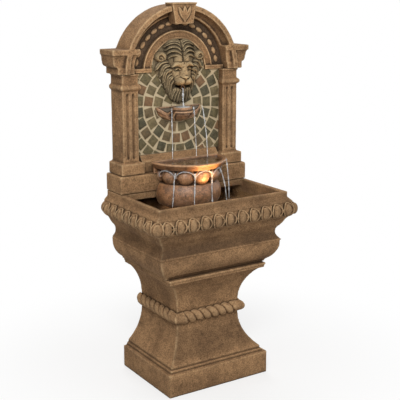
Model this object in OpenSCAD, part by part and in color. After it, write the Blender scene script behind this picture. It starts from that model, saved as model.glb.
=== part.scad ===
/* [Pedestal] */
// Width of the plinth on the floor
plinth_w = 408; // [380:2:430]
// Height of the plinth
plinth_h = 79; // [60:1:90]
// Width of the narrow neck that the rope band goes round
neck_w = 252; // [230:2:270]
// Height of the middle of the rope band above the floor
rope_z = 246; // [236:1:256]
// Radius of the rope band
rope_r = 23; // [18:1:26]
// Number of rope strands across the front
rope_strands = 9; // [7:1:12]
// Height of the pedestal
pedestal_h = 411; // [395:1:430]
// Width of the pedestal's top fillet
pedestal_top_w = 392; // [376:2:396]
// How much further the pedestal reaches to the front than to each side
pedestal_nose = 124; // [110:1:136]
// Thickness of the pedestal's wall
pedestal_wall = 13; // [9:1:16]

/* [Basin] */
// Height of the basin casting
basin_h = 255; // [250:1:270]
// Width of the belly below the scotia
belly_w = 480; // [470:2:488]
// Width of the plain lip at the top
lip_w = 510; // [504:2:520]
// How much further the basin reaches to the front than to each side
basin_nose = 102; // [92:1:112]
// Thickness of the basin's wall at the lip
lip_wall = 14; // [10:1:18]
// Thickness of the basin's back wall
back_wall = 16; // [12:1:20]
// Depth of the tank below the lip
tank_depth = 160; // [150:1:164]
// Thickness of the deck that carries the back panel
deck_t = 24; // [18:1:30]
// Distance from one egg of the rim moulding to the next
egg_pitch = 48; // [44:1:54]
// Radius of an egg across its middle
egg_r = 15; // [12:0.5:16]

/* [Back panel] */
// Width of the base block
base_w = 512; // [500:2:520]
// Depth of the base block
base_d = 107; // [102:1:114]
// Height of the base block
base_h = 61; // [54:1:68]
// Height of the spring of the arch above the base block
spring_up = 339; // [328:1:358]
// Width across the two piers
piers_w = 462; // [454:2:470]
// Width of one pier
pier_w = 60; // [54:1:62]
// Depth of a pier's shaft
pier_d = 83; // [78:1:88]
// Outer radius of the arch moulding
arch_r = 225; // [220:1:229]
// Depth of the cornice and the arch moulding
cornice_d = 99; // [97:1:104]
// Inner radius of the arch moulding
arch_in_r = 187; // [182:1:190]
// Inner radius of the plain ring round the lion
ring_r = 108; // [107:1:112]
// Width of the plain ring
ring_w = 31; // [26:1:34]
// Number of beads in the arch
beads = 15; // [11:1:16]
// Thickness of the wall slab behind the mosaic
slab_t = 14; // [10:1:16]

/* [Mosaic] */
// Edge of one mosaic tile
tile = 33; // [28:1:35]
// Width of a grout joint
joint = 6; // [5:1:9]
// Thickness of a tile
tile_t = 4; // [3:0.5:5]

/* [Bowls] */
// Outer radius of the lower bowl's lip
bowl_r = 141; // [134:1:146]
// Height of the lower bowl's lip above the basin's lip
bowl_up = 104; // [98:1:108]
// Angle from one lobe of the lower bowl to the next
lobe_step = 33; // [30:1:34]
// Radius of the drum below the lower bowl
drum_r = 123; // [116:1:126]
// Half width of the upper bowl
cup_half = 92; // [84:1:98]
// How far the upper bowl stands out from the mosaic
cup_out = 62; // [54:1:68]
// Depth of the upper bowl
cup_deep = 54; // [48:1:58]

/* [Water works] */
// Length of the pump's motor block
pump_l = 42; // [38:1:46]
// Width of the pump
pump_w = 60; // [54:1:64]
// Height of the pump's body
pump_h = 58; // [54:1:62]
// Radius of the impeller
impeller_r = 15; // [12:0.5:16]
// Number of impeller blades
blades = 6; // [4:1:8]
// Outer radius of the riser hose
hose_r = 9; // [8:0.5:10]
// Wall of the riser hose
hose_wall = 2.7; // [2:0.1:3]
// Radius of the lamp's body
lamp_r = 15; // [13:1:17]
// Radius of the drain plug
plug_r = 9; // [7:0.5:11]

/* [Hidden] */
$fa = 6;
$fs = 1.5;
stone = "#8a6f50";
copper = "#8f5f3a";
slate = "#5f6047";
plastic = "#26282a";

// Gap between two castings that are bonded together along a curve
bond = 0.3;
// Gap round a part that slides or lifts off, and under a casting that stands on another
loose = 0.5;
seam = 0.3;
// Gap between a shaft and its hole
running = 0.05;

// Heights above the floor
rim_z = pedestal_h + basin_h;
base_top = rim_z + base_h;
tank_z = rim_z - tank_depth;
bowl_z = rim_z + bowl_up;
spring_z = base_top + spring_up;

// Half widths of the basin's outline, and its overall reach
lip = lip_w / 2;
belly = belly_w / 2;
band_half = lip + 13;
egg_out = 8;
reach = band_half + egg_out + egg_r;
depth = reach + basin_nose;

// All is drawn against the back plane, then moved so that the origin is under the middle.
module placed() {
    translate([0, depth / 2, 0]) children();
}

// An outline with its half width along x and its height along y, drawn to both sides
module across() {
    rotate([90, 0, 0])
        linear_extrude(height = 2 * depth) {
            children();
            mirror([1, 0]) children();
        }
}

// An outline with its distance from the back plane along x and its height along y
module fore_and_aft() {
    rotate([90, 0, -90])
        linear_extrude(height = 4 * depth, center = true)
            children();
}

// The same half outline carried round both sides and the front of a flat-backed casting.
// The front stands out by nose more than each side does.
module mitred(nose, low, high) {
    intersection() {
        across() children();
        fore_and_aft() {
            translate([nose, 0]) children();
            if (nose > 0) translate([0, low]) square([nose + 1, high - low]);
        }
    }
}

// A block from one distance off the back plane to another
module slab(half_w, near, far, low, high) {
    translate([-half_w, -far, low]) cube([2 * half_w, far - near, high - low]);
}

// A round bar that lies along Y, from one distance off the back plane to another
module bar_y(r, near, far) {
    translate([0, -near, 0]) rotate([90, 0, 0]) cylinder(r = r, h = far - near);
}

// A rectangle against the back plane with its two front corners round
module front_rounded(half_w, d, r) {
    translate([-half_w, -d + r]) square([2 * half_w, d - r]);
    translate([-half_w + r, -d]) square([2 * half_w - 2 * r, r + 1]);
    for (side = [-1, 1]) translate([side * (half_w - r), -d + r]) circle(r);
}

// An upright oval, cut from three circles
module oval(half_w, half_h) {
    side_r = (1.45 * half_h * half_h + half_w * half_w) / (2 * half_w);
    intersection() {
        translate([half_w - side_r, 0]) circle(side_r, $fa = 3);
        translate([side_r - half_w, 0]) circle(side_r, $fa = 3);
        circle(half_h);
    }
}

// The oval turned about its long axis
module bean(half_w, half_h) {
    rotate_extrude()
        intersection() {
            oval(half_w, half_h);
            translate([0, -half_h]) square([half_w, 2 * half_h]);
        }
}

// The basin's underside, which drops over a collar on the pedestal
belly_hollow = 150;
collar_h = 10;
collar_wall = 10;
collar_gap = 1.5;

// Pedestal: a hollow casting with a cove above and below its neck
neck = neck_w / 2;
plinth = plinth_w / 2;
plinth_worn_r = 9;
step_1 = plinth - 14;
step_2 = plinth - 20;
step_h = 10;
step_1_z = plinth_h + step_h;
step_2_z = step_1_z + step_h;
cap = pedestal_top_w / 2;
cap_h = 18;
soffit_z = pedestal_h - cap_h;
soffit = cap - 12;
rope_low = rope_z - rope_r;
rope_high = rope_z + rope_r;
// Each cove stops this far off the neck's face, behind the edge of the rope
cove_step = 0.6;
lower_cove_w = step_2 - neck - cove_step;
lower_cove_r = (pow(lower_cove_w, 2) + pow(rope_low - step_2_z, 2)) / (2 * lower_cove_w);
upper_cove_w = soffit - neck - cove_step;
upper_cove_r = (pow(upper_cove_w, 2) + pow(soffit_z - rope_high, 2)) / (2 * upper_cove_w);

module pedestal_outline() {
    square([neck, soffit_z]);
    translate([0, plinth_h]) square([step_1, step_h]);
    square([step_2, step_2_z]);
    difference() {
        translate([0, step_2_z]) square([step_2, rope_low - step_2_z]);
        translate([neck + cove_step + lower_cove_r, rope_low]) circle(lower_cove_r, $fa = 2);
    }
    difference() {
        translate([0, rope_high]) square([soffit, soffit_z - rope_high]);
        translate([neck + cove_step + upper_cove_r, rope_high]) circle(upper_cove_r, $fa = 2);
    }
    // two fillets with a shadow line between them
    translate([0, soffit_z]) square([cap - 4, 0.45 * cap_h]);
    translate([0, soffit_z]) square([cap - 8, cap_h - seam]);
    translate([0, soffit_z + 0.55 * cap_h]) square([cap, 0.45 * cap_h - seam]);
}

module pedestal_hollow() {
    inner_neck = neck - pedestal_wall;
    top = soffit_z - pedestal_wall;
    polygon([[0, -1], [plinth - pedestal_wall, -1], [plinth - pedestal_wall, plinth_h - 8],
        [step_2 - 2 * pedestal_wall, plinth_h + 14], [inner_neck + 6, rope_low - 45],
        [inner_neck, rope_low - 20], [inner_neck, rope_high + 50],
        [soffit - 2 * pedestal_wall, top], [0, top]]);
}

module pedestal() {
    color(stone) placed() {
        difference() {
            union() {
                mitred(pedestal_nose, 0, pedestal_h - seam) pedestal_outline();
                linear_extrude(height = plinth_h)
                    front_rounded(plinth, plinth + pedestal_nose, plinth_worn_r);
            }
            intersection() {
                mitred(pedestal_nose, -1, soffit_z - pedestal_wall) pedestal_hollow();
                slab(plinth, pedestal_wall, 2 * depth, -1, pedestal_h);
            }
        }
        difference() {
            slab(belly_hollow - collar_gap, back_wall + collar_gap,
                belly_hollow + basin_nose - collar_gap, pedestal_h - 1, pedestal_h + collar_h);
            slab(belly_hollow - collar_gap - collar_wall, back_wall + collar_gap + collar_wall,
                belly_hollow + basin_nose - collar_gap - collar_wall,
                pedestal_h - seam, pedestal_h + collar_h + 1);
        }
    }
}

// Rope band: half-round strands laid slantwise round the neck, with plain knobs at the corners
rope_side = neck + pedestal_nose;
rope_length = 2 * rope_side + 2 * neck;
rope_pitch = neck_w / rope_strands;
rope_lean = 0.9;
knob = 20;
// The rings along the band: so many down each side, and so many across the front
rope_ring = rope_pitch / 5;
side_rings = round(rope_side / rope_ring);
front_rings = round(neck_w / rope_ring);
rope_rings = 2 * side_rings + front_rings;
rope_points = 8;

function rope_at(i) = i <= side_rings ? rope_side * i / side_rings
    : i <= side_rings + front_rings ? rope_side + neck_w * (i - side_rings) / front_rings
    : rope_side + neck_w + rope_side * (i - side_rings - front_rings) / side_rings;
function rope_base(s) = s <= rope_side ? [-neck, -s]
    : s <= rope_side + neck_w ? [s - rope_side - neck, -rope_side]
    : [neck, s - rope_length];
function to_corner(s) = min(abs(s - rope_side), abs(s - rope_side - neck_w));
function skew(s) = pow(max(0, 1 - to_corner(s) / knob), 2);
function rope_out(s) = s <= rope_side ? [-1, -skew(s)]
    : s <= rope_side + neck_w ? [sign(s - rope_side - neck) * skew(s), -1]
    : [1, -skew(s)];
function strand(s, turn) = pow(abs(sin(180 * (s / rope_pitch + rope_lean * turn / 180))), 0.6);
function rope_radius(s, turn) = to_corner(s) < knob
    ? rope_r * (0.86 + 0.12 * pow(to_corner(s) / knob, 2))
    : rope_r * (0.78 + 0.22 * strand(s, turn));

module rope_band() {
    rings = [for (i = [0:rope_rings]) let(s = rope_at(i), b = rope_base(s), n = rope_out(s))
        for (j = [0:rope_points]) let(turn = -90 + 180 * j / rope_points,
            r = rope_radius(s, turn))
            [b[0] + n[0] * r * cos(turn), b[1] + n[1] * r * cos(turn), rope_z + r * sin(turn)]];
    m = rope_points + 1;
    walls = [for (i = [0:rope_rings - 1]) for (j = [0:rope_points])
        let(a = i * m + j, b = i * m + (j + 1) % m)
            each [[a, b, b + m], [a, b + m, a + m]]];
    ends = [[for (j = [rope_points:-1:0]) j],
        [for (j = [0:rope_points]) rope_rings * m + j]];
    color(stone) placed() polyhedron(points = rings, faces = concat(walls, ends), convexity = 8);
}

// Basin: the outline from its foot to the lip, in steps up from the pedestal
ovolo_r = 78;
ovolo_low = 8;
ovolo_mid = 74;
belly_top = 83;
scotia_z = 111;
scotia_r = 28;
ogee_z = 134;
band_low = 170;
band_high = 223;
lip_low = 236;

module basin_outline() {
    translate([0, pedestal_h]) {
        square([belly - 38, belly_top]);
        intersection() {
            translate([belly - ovolo_r, ovolo_mid]) circle(ovolo_r, $fa = 2);
            translate([0, ovolo_low]) square([belly, ovolo_mid - ovolo_low]);
        }
        translate([0, ovolo_mid]) square([belly, belly_top - ovolo_mid]);
        difference() {
            translate([0, belly_top]) square([belly - 2, ogee_z - belly_top]);
            translate([belly + 15, scotia_z]) circle(scotia_r, $fa = 3);
        }
        polygon([[0, ogee_z], [belly - 2, ogee_z], [belly + 5, ogee_z + 9],
            [belly + 11, ogee_z + 21], [belly + 18, ogee_z + 31], [band_half - 1, band_low],
            [band_half, band_low + 1], [band_half, band_high], [lip + 3, band_high + 10],
            [lip, lip_low], [0, lip_low]]);
        translate([0, lip_low]) square([lip, basin_h - lip_low]);
    }
}

// The tank inside: narrow behind the scotia and wide at the lip
tank_half = belly - 28;
tank_step = 155;
lip_in = lip - lip_wall;
floor_t = 18;
deck_d = base_d - 3;

module tank_outline() {
    polygon([[0, tank_z], [tank_half - 12, tank_z], [tank_half, tank_z + 12],
        [tank_half, pedestal_h + tank_step], [lip_in, pedestal_h + tank_step + 26],
        [lip_in, rim_z + 1], [0, rim_z + 1]]);
}

module belly_outline() {
    polygon([[0, pedestal_h - 1], [belly_hollow, pedestal_h - 1],
        [belly_hollow, pedestal_h + 25], [belly - 58, pedestal_h + 45],
        [belly - 36, pedestal_h + 66], [belly - 36, tank_z - floor_t], [0, tank_z - floor_t]]);
}

// Pegs under the panel, and where the hose and the lamp's lead pass the deck
peg_x = 190;
peg_y = 60;
peg_r = 12;
peg_l = 14;
notch = 55;
// The drain, low in the back wall
drain_x = -150;
drain_z = tank_z + 16;
flange_r = plug_r + 5;
flange_t = 5;

module basin() {
    color(stone) placed()
        difference() {
            union() {
                difference() {
                    mitred(basin_nose, pedestal_h, rim_z) basin_outline();
                    intersection() {
                        mitred(basin_nose, tank_z, rim_z + 1) tank_outline();
                        slab(lip, back_wall, 2 * depth, tank_z, rim_z + 1);
                    }
                    intersection() {
                        mitred(basin_nose, pedestal_h - 1, tank_z - floor_t) belly_outline();
                        slab(belly, back_wall, 2 * depth, pedestal_h - 1, tank_z);
                    }
                }
                slab(lip_in + 1, 1, deck_d, rim_z - deck_t, rim_z);
            }
            slab(notch, back_wall + 14, deck_d + 1, rim_z - deck_t - 1, rim_z + 1);
            for (side = [-1, 1])
                translate([side * peg_x, -peg_y, rim_z - deck_t - 1])
                    cylinder(r = peg_r + loose, h = deck_t + 2);
            translate([drain_x, 0, drain_z]) {
                bar_y(plug_r, -1, back_wall + 1);
                bar_y(flange_r + 1, -1, flange_t + 2);
            }
        }
}

module drain_plug() {
    color(plastic) placed() translate([drain_x, 0, drain_z]) {
        bar_y(plug_r - running, flange_t + 1, back_wall + 3);
        difference() {
            bar_y(flange_r, 1, flange_t + 2);
            bar_y(plug_r - 3, 0, 4);
        }
        translate([-plug_r + 2, -4.5, -1.5]) cube([2 * plug_r - 4, 3.5, 3]);
    }
}

// Egg moulding: a round band with an oval socket for each egg, bonded round the rim
egg_h = 20;
socket_gap = 2;
egg_z = pedestal_h + band_low + 26;
band_round = 25;
front_eggs = 2 * floor((band_half - 27) / egg_pitch) + 1;
side_start = band_half + basin_nose - 0.72 * egg_pitch;
side_eggs = floor((side_start - egg_r - 6) / egg_pitch) + 1;

// Stands each egg or socket in its place: the middle of its back, facing outwards along -Y
module round_the_rim() {
    for (i = [0:front_eggs - 1])
        translate([(i - (front_eggs - 1) / 2) * egg_pitch, -band_half - basin_nose, egg_z])
            children();
    for (side = [-1, 1]) {
        translate([side * (band_half - 3), -band_half - basin_nose + 3, egg_z])
            rotate([0, 0, side * 45]) children();
        for (i = [0:side_eggs - 1])
            translate([side * band_half, -side_start + i * egg_pitch, egg_z])
                rotate([0, 0, side * 90]) children();
    }
}

module egg_band() {
    color(stone) placed()
        difference() {
            intersection() {
                mitred(basin_nose, pedestal_h + band_low + 1, pedestal_h + band_high) {
                    translate([0, pedestal_h + band_low + 1])
                        square([band_half - 4, band_high - band_low - 3]);
                    intersection() {
                        translate([band_half - 6, egg_z]) circle(band_round, $fa = 3);
                        translate([0, pedestal_h + band_low + 1])
                            square([2 * band_half, band_high - band_low - 3]);
                    }
                }
                translate([0, 0, pedestal_h])
                    linear_extrude(height = basin_h)
                        front_rounded(band_half + 19, band_half + 19 + basin_nose, 22);
            }
            slab(band_half, -1, band_half + basin_nose, pedestal_h, rim_z);
            round_the_rim()
                translate([0, egg_r, 0]) rotate([90, 0, 0])
                    linear_extrude(height = 4 * egg_r)
                        oval(egg_r + socket_gap, egg_h + socket_gap);
        }
}

module eggs() {
    color(stone) placed()
        difference() {
            round_the_rim() translate([0, -egg_out, 0]) bean(egg_r, egg_h);
            slab(band_half, -1, band_half + basin_nose, pedestal_h, rim_z);
        }
}

// Back panel. Distances off the back plane: a rear board, a space for the hose, the wall
// slab, the grout and the tiles.
board_t = 6;
slab_near = 36;
slab_far = slab_near + slab_t;
grout_t = 5;
grout_far = slab_far + grout_t;
tile_far = grout_far + tile_t;
pier_x = (piers_w - pier_w) / 2;
field = piers_w / 2 - pier_w;
base_wall = 13;
hose_y = (board_t + slab_near) / 2 - 0.5;
grommet_x = 170;
grommet_z = rim_z + base_h / 2 - 3;
grommet_r = 9;

module panel_base() {
    half = base_w / 2;
    color(stone) placed() {
        difference() {
            mitred(base_d - half, rim_z, base_top)
                polygon([[0, rim_z + seam], [half, rim_z + seam], [half, base_top - 4],
                    [half - 3, base_top], [0, base_top]]);
            slab(half - base_wall, base_wall, base_d - base_wall, rim_z - 1, base_top - base_wall);
            slab(40, board_t, slab_near, rim_z, base_top + 1);
            translate([grommet_x, 0, grommet_z]) bar_y(grommet_r, -1, base_wall + 1);
        }
        for (side = [-1, 1]) translate([side * peg_x, -peg_y, 0]) {
            translate([0, 0, rim_z + seam]) cylinder(r = peg_r + 7, h = base_h - base_wall);
            translate([0, 0, rim_z - peg_l]) cylinder(r = peg_r, h = peg_l + 1);
        }
    }
}

module cord_grommet() {
    color(plastic) placed() translate([grommet_x, 0, grommet_z])
        difference() {
            union() {
                bar_y(grommet_r, 0.5, base_wall);
                bar_y(grommet_r + 4, base_wall, base_wall + 3);
            }
            bar_y(4.5, 0, base_wall + 4);
        }
}

// Pier: foot, fluted shaft, astragal and neck, each carried round to the back plane
foot_h = 38;
foot_out = 14;
astragal_low = spring_z - 54;
astragal_h = 19;
astragal_out = 8;
flute_r = 6;
flutes = 2;

module pier_outline() {
    half = pier_w / 2;
    square([half, spring_z]);
    translate([0, base_top]) square([half + foot_out, foot_h]);
    polygon([[0, base_top], [half + foot_out, base_top + foot_h], [half, base_top + foot_h + 5],
        [0, base_top + foot_h + 5]]);
    translate([0, astragal_low]) square([half + 2, astragal_h]);
    translate([half + astragal_out - astragal_h / 2, astragal_low + astragal_h / 2])
        circle(astragal_h / 2);
    translate([0, astragal_low + 1]) square([half + astragal_out - astragal_h / 2, astragal_h - 2]);
    translate([0, spring_z - 5]) square([half + 3, 5]);
}

module pier() {
    difference() {
        intersection() {
            mitred(pier_d - pier_w / 2, base_top, spring_z) pier_outline();
            slab(pier_w, 0, base_d, base_top, spring_z);
        }
        for (i = [0:flutes - 1]) {
            x = (i + 0.5 - flutes / 2) * pier_w / (flutes + 0.8);
            low = base_top + foot_h + 20;
            high = astragal_low - 15;
            translate([x, -pier_d - 1.5, low]) {
                cylinder(r = flute_r, h = high - low);
                sphere(flute_r);
                translate([0, 0, high - low]) sphere(flute_r);
            }
        }
    }
}

// The inner side keeps clear of the slab and the mosaic
module left_pier() {
    color(stone) placed()
        difference() {
            translate([-pier_x, 0, 0]) pier();
            slab(field, -1, tile_far + 1, rim_z, spring_z + 1);
        }
}

module right_pier() {
    color(stone) placed()
        difference() {
            translate([pier_x, 0, 0]) pier();
            slab(field, -1, tile_far + 1, rim_z, spring_z + 1);
        }
}

// The opening between the piers with its round head, less a gap all round
module head_outline(gap) {
    translate([-field + gap, base_top]) square([2 * (field - gap), spring_z - base_top]);
    intersection() {
        translate([0, spring_z]) circle(arch_in_r - gap, $fa = 2);
        translate([-arch_r, spring_z]) square([2 * arch_r, arch_r]);
    }
}

module upright(near, far) {
    translate([0, -near, 0]) rotate([90, 0, 0]) linear_extrude(height = far - near) children();
}

// The lion's mouth, where the water comes through
mouth_z = spring_z - 54;
elbow_r = hose_r + 1;

module wall_slab() {
    color(stone) placed()
        difference() {
            upright(slab_near, slab_far) head_outline(bond);
            translate([0, 0, mouth_z]) bar_y(elbow_r + loose, slab_near - 1, slab_far + 1);
        }
}

// Rear board with a lift-out door over the hose
door_half = 70;
door_low = base_top + 20;
door_h = 120;
door_r = 10;
door_gap = 0.4;

module door_outline(gap) {
    half = door_half - gap;
    h = door_h - 2 * gap;
    translate([-half, door_low + gap + door_r]) square([2 * half, h - 2 * door_r]);
    translate([-half + door_r, door_low + gap]) square([2 * half - 2 * door_r, h]);
    for (side = [-1, 1]) for (up = [door_r, h - door_r])
        translate([side * (half - door_r), door_low + gap + up]) circle(door_r);
}

module rear_board() {
    color("dimgray") placed()
        difference() {
            upright(0, board_t) head_outline(bond);
            upright(-1, board_t + 1) door_outline(0);
        }
}

module access_door() {
    pull_z = door_low + door_h - 25;
    color("dimgray") placed()
        difference() {
            union() {
                upright(0.5, board_t) door_outline(door_gap);
                // a boss that backs the finger pull
                translate([0, 0, pull_z]) bar_y(15, board_t - 1, board_t + 4);
            }
            translate([0, 0, pull_z]) bar_y(11, 0, board_t + 1);
        }
}

// Cornice blocks over the piers and the arch that springs from them, in one casting
abacus_h = 22;
cornice_h = 82;
cornice_out = 70;
fillet_h = 18;
neck_out = 45;

module cornice_side() {
    translate([0, spring_z]) {
        square([neck_out + 2, abacus_h]);
        square([neck_out, cornice_h]);
        polygon([[0, abacus_h], [neck_out, abacus_h], [neck_out + 8, abacus_h + 2],
            [cornice_out - 12, abacus_h + 5], [cornice_out - 8, abacus_h + 12],
            [cornice_out - 4, cornice_h - fillet_h], [0, cornice_h - fillet_h]]);
        translate([0, cornice_h - fillet_h]) square([cornice_out, fillet_h]);
    }
}

module cornice_front() {
    translate([0, spring_z])
        polygon([[0, 0], [cornice_d - 9, 0], [cornice_d - 9, abacus_h],
            [cornice_d - 12, abacus_h], [cornice_d - 12, abacus_h + 7],
            [cornice_d - 10, cornice_h - fillet_h - 12], [cornice_d - 4, cornice_h - fillet_h],
            [cornice_d, cornice_h - fillet_h], [cornice_d, cornice_h], [0, cornice_h]]);
}

// The keystone's face, wider at the top, less or more a gap
key_low = 161;
key_top = arch_r + 1;
key_half = 47;
key_seat = slab_far + 6;
key_far = cornice_d + 5;

module key_outline(low, gap) {
    taper = 12;
    polygon([[-key_half + taper * (key_top - low) / (key_top - key_low) - gap, low],
        [key_half - taper * (key_top - low) / (key_top - key_low) + gap, low],
        [key_half + gap, key_top + gap], [-key_half - gap, key_top + gap]]);
}

module arch_cornice() {
    cove_r = 21;
    fillet = arch_r - 18;
    inner_lip_r = 3;
    color(stone) placed()
        difference() {
            union() {
                for (side = [-1, 1]) translate([side * pier_x, 0, 0])
                    intersection() {
                        across() cornice_side();
                        fore_and_aft() cornice_front();
                    }
                translate([0, 0, spring_z]) rotate([90, 0, 0])
                    rotate_extrude(angle = 180) {
                        difference() {
                            translate([arch_in_r, 0]) square([arch_r - arch_in_r, cornice_d]);
                            translate([fillet - cove_r, cornice_d - 14]) circle(cove_r);
                            translate([arch_in_r - 1, cornice_d - 14])
                                square([fillet - arch_in_r + 1, 15]);
                        }
                        translate([arch_in_r + inner_lip_r + 1, cornice_d - 13 - cove_r])
                            circle(inner_lip_r);
                    }
            }
            translate([0, 0, spring_z]) {
                bar_y(arch_in_r, -1, cornice_d + 10);
                upright(key_seat, cornice_d + 1) key_outline(arch_in_r - 4, 0.1);
            }
        }
}

module keystone() {
    leaf_z = 192;
    color(stone) placed() translate([0, 0, spring_z]) {
        // the tail hangs in front of the beads
        upright(slab_far + 10, key_far) key_outline(key_low, 0);
        intersection() {
            upright(key_seat, slab_far + 11) key_outline(arch_in_r + bond, 0);
            difference() {
                slab(arch_r, 0, cornice_d, 0, arch_r + 2);
                bar_y(arch_in_r + bond, -1, cornice_d);
            }
        }
        slab(key_half + 2, key_seat, key_far + 2, key_top + 0.2, key_top + 5);
        slab(key_half - 4, key_seat + 4, key_far - 4, key_top - 2, key_top + 3);
        // three plain leaves on the face
        intersection() {
            union() {
                translate([0, -key_far, leaf_z]) bean(9, 26);
                for (side = [-1, 1]) translate([side * 14, -key_far, leaf_z + 4])
                    rotate([0, side * 24, 0]) bean(7, 22);
            }
            slab(key_half, key_far - 1, key_far + 4, key_low, key_top);
        }
    }
}

// Plain ring round the lion, with a thin bead at each edge and an impost at each foot
ring_far = slab_far + 10;

module inner_arch() {
    impost_h = 14;
    rim_r = 3;
    color(stone) placed() translate([0, 0, spring_z]) {
        rotate([90, 0, 0])
            rotate_extrude(angle = 180) {
                translate([ring_r, slab_far]) square([ring_w, ring_far - slab_far]);
                for (r = [ring_r + rim_r, ring_r + ring_w - rim_r])
                    translate([r, ring_far]) circle(rim_r);
            }
        for (side = [-1, 1])
            translate([side * (ring_r + arch_in_r - 3) / 2, 0, 0])
                slab((arch_in_r - 3 - ring_r) / 2, slab_far, ring_far + 6, 0, impost_h);
    }
}

// Beads between the ring and the arch, their long axes along the curve
bead_long = 13;
bead_short = 8;
bead_ring = (arch_in_r + ring_r + ring_w) / 2;

module bead_course() {
    start = 12;
    color(stone) placed()
        difference() {
            for (i = [0:beads - 1])
                translate([0, -slab_far, spring_z])
                    rotate([0, -start - i * (180 - 2 * start) / (beads - 1), 0])
                        translate([bead_ring, 0, 0]) bean(bead_short, bead_long);
            slab(arch_r, -1, slab_far, spring_z, spring_z + arch_r);
        }
}

// Sill between the feet of the piers
sill_h = 58;

module sill() {
    half = pier_x - pier_w / 2 - foot_out - bond;
    far = slab_far + 28;
    color(stone) placed()
        intersection() {
            slab(half, slab_far, far, base_top, base_top + sill_h);
            fore_and_aft() translate([0, base_top])
                polygon([[slab_far, 0], [far, 0], [far, sill_h - 20], [far - 8, sill_h - 13],
                    [grout_far + tile_t, sill_h], [slab_far, sill_h]]);
        }
}

// Mosaic: the grout fills the field from the sill up into the ring
field_low = base_top + sill_h + bond;

module field_outline(gap) {
    translate([-field + bond + gap, field_low + gap])
        square([2 * (field - bond - gap), spring_z - field_low - gap - bond]);
    intersection() {
        translate([0, spring_z]) circle(ring_r - bond - gap, $fa = 2);
        translate([-ring_r, spring_z - 1 - bond]) square([2 * ring_r, ring_r]);
    }
}

module grout_bed() {
    color("#b3a48a") placed()
        difference() {
            upright(slab_far, grout_far) field_outline(0);
            translate([0, 0, mouth_z]) bar_y(elbow_r + loose, slab_far - 1, grout_far + 1);
        }
}

// Hand-cut tiles laid in rings round a point behind the upper bowl
rings_z = spring_z - 116;
first_ring = 40;
ring_step = tile + joint;
rings = 7;

function chance(n, seed) = rands(-1, 1, n, seed);

// A tile is laid where its middle lies far enough inside the field and clear of the lion
function far_in(x, z) = let(up = z + rings_z - spring_z)
    abs(x) < field + tile / 3 && z + rings_z > field_low - tile / 3
    && (up < 6 || (norm([x, up]) < ring_r - 6 && abs(x) < ring_r - 6))
    && norm([x, up]) > edge(atan2(up, x)) - tile / 3;

// Half the width of a tile at a distance from the middle: its own, or less in a tight ring
function tile_half(w, r, n) = min(w / 2, r * tan(180 / n) - joint / 4);

module tile_ring(k) {
    r = first_ring + k * ring_step;
    n = round(2 * PI * r / ring_step);
    turn = chance(n, 11 + k);
    grow = chance(2 * n, 31 + k);
    for (i = [0:n - 1])
        let(a = 360 * (i + 0.4 * k) / n - 90, h = (tile + grow[2 * i]) / 2,
            w = tile + 1.5 * grow[2 * i + 1],
            near = tile_half(w, r - h, n), far = tile_half(w, r + h, n))
            if (far_in(r * cos(a), r * sin(a)))
                rotate([0, 0, a]) translate([r, 0]) rotate([0, 0, 4 * turn[i]])
                    polygon([[-h, -near], [h, -far], [h, far], [-h, near]]);
}

module mosaic_tiles() {
    color(slate) placed()
        upright(grout_far, tile_far)
            difference() {
                intersection() {
                    union() for (k = [0:rings - 1]) translate([0, rings_z]) tile_ring(k);
                    field_outline(2);
                }
                lion_outline(2);
                cup_outline(2);
            }
}

// Lion mask: a relief on the mosaic. Its height is that of the highest of these swellings:
// each has its place across and up from the mask's middle, its half width, its half height,
// the level that it starts from and how far it swells. Those off the middle come in pairs.
lion_z = spring_z;
swellings = [
    [0, 0, 112, 122, 0, 24], [40, 62, 34, 34, 12, 22], [70, 14, 28, 44, 8, 22],
    [56, -34, 24, 38, 6, 22], [30, -58, 20, 40, 8, 24], [10, -78, 15, 32, 10, 24],
    [0, 6, 52, 58, 8, 34], [13, 46, 16, 34, 18, 28], [22, 24, 23, 11, 24, 26],
    [0, 2, 13, 36, 22, 30], [32, -8, 18, 24, 18, 24], [0, -20, 30, 22, 24, 31],
    [12, -26, 17, 15, 27, 31], [0, -17, 12, 9, 33, 28], [0, -62, 18, 12, 18, 24],
    [78, 46, 19, 18, 8, 26]];
// Hollows: the eyes, the mouth, the ears and the crease of the forehead
hollows = [[24, 5, 10, 6, 8], [0, -48, 17, 8, 20], [78, 46, 10, 9, 12], [0, 62, 4, 44, 7]];
// The mask's outline: distance from its middle at each angle above the level
lion_edge = [[-90, 110], [-72, 101], [-52, 84], [-38, 76], [-25, 75], [-8, 82], [3, 92],
    [14, 101], [40, 104], [90, 105]];
lion_rings = 17;
lion_spokes = 64;

function bump(x, z, f) = 1 - pow((x - f[0]) / f[2], 2) - pow((z - f[1]) / f[3], 2);
function swell(x, z, f) = bump(x, z, f) <= 0 ? 0 : f[4] + f[5] * sqrt(bump(x, z, f));
function sink(x, z, f) = f[4] * max(0, bump(x, z, f));
function relief(x, z) = max([for (f = swellings) swell(abs(x), z, f)])
    - max([for (f = hollows) sink(abs(x), z, f)]);
function edge(a) = lookup(abs(a) <= 90 ? a : sign(a) * (180 - abs(a)), lion_edge);
function spoke(i) = -180 + 360 * i / lion_spokes;

module lion_outline(gap) {
    translate([0, lion_z])
        polygon([for (i = [0:lion_spokes - 1]) let(a = spoke(i))
            (edge(a) + gap) * [cos(a), sin(a)]]);
}

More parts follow.
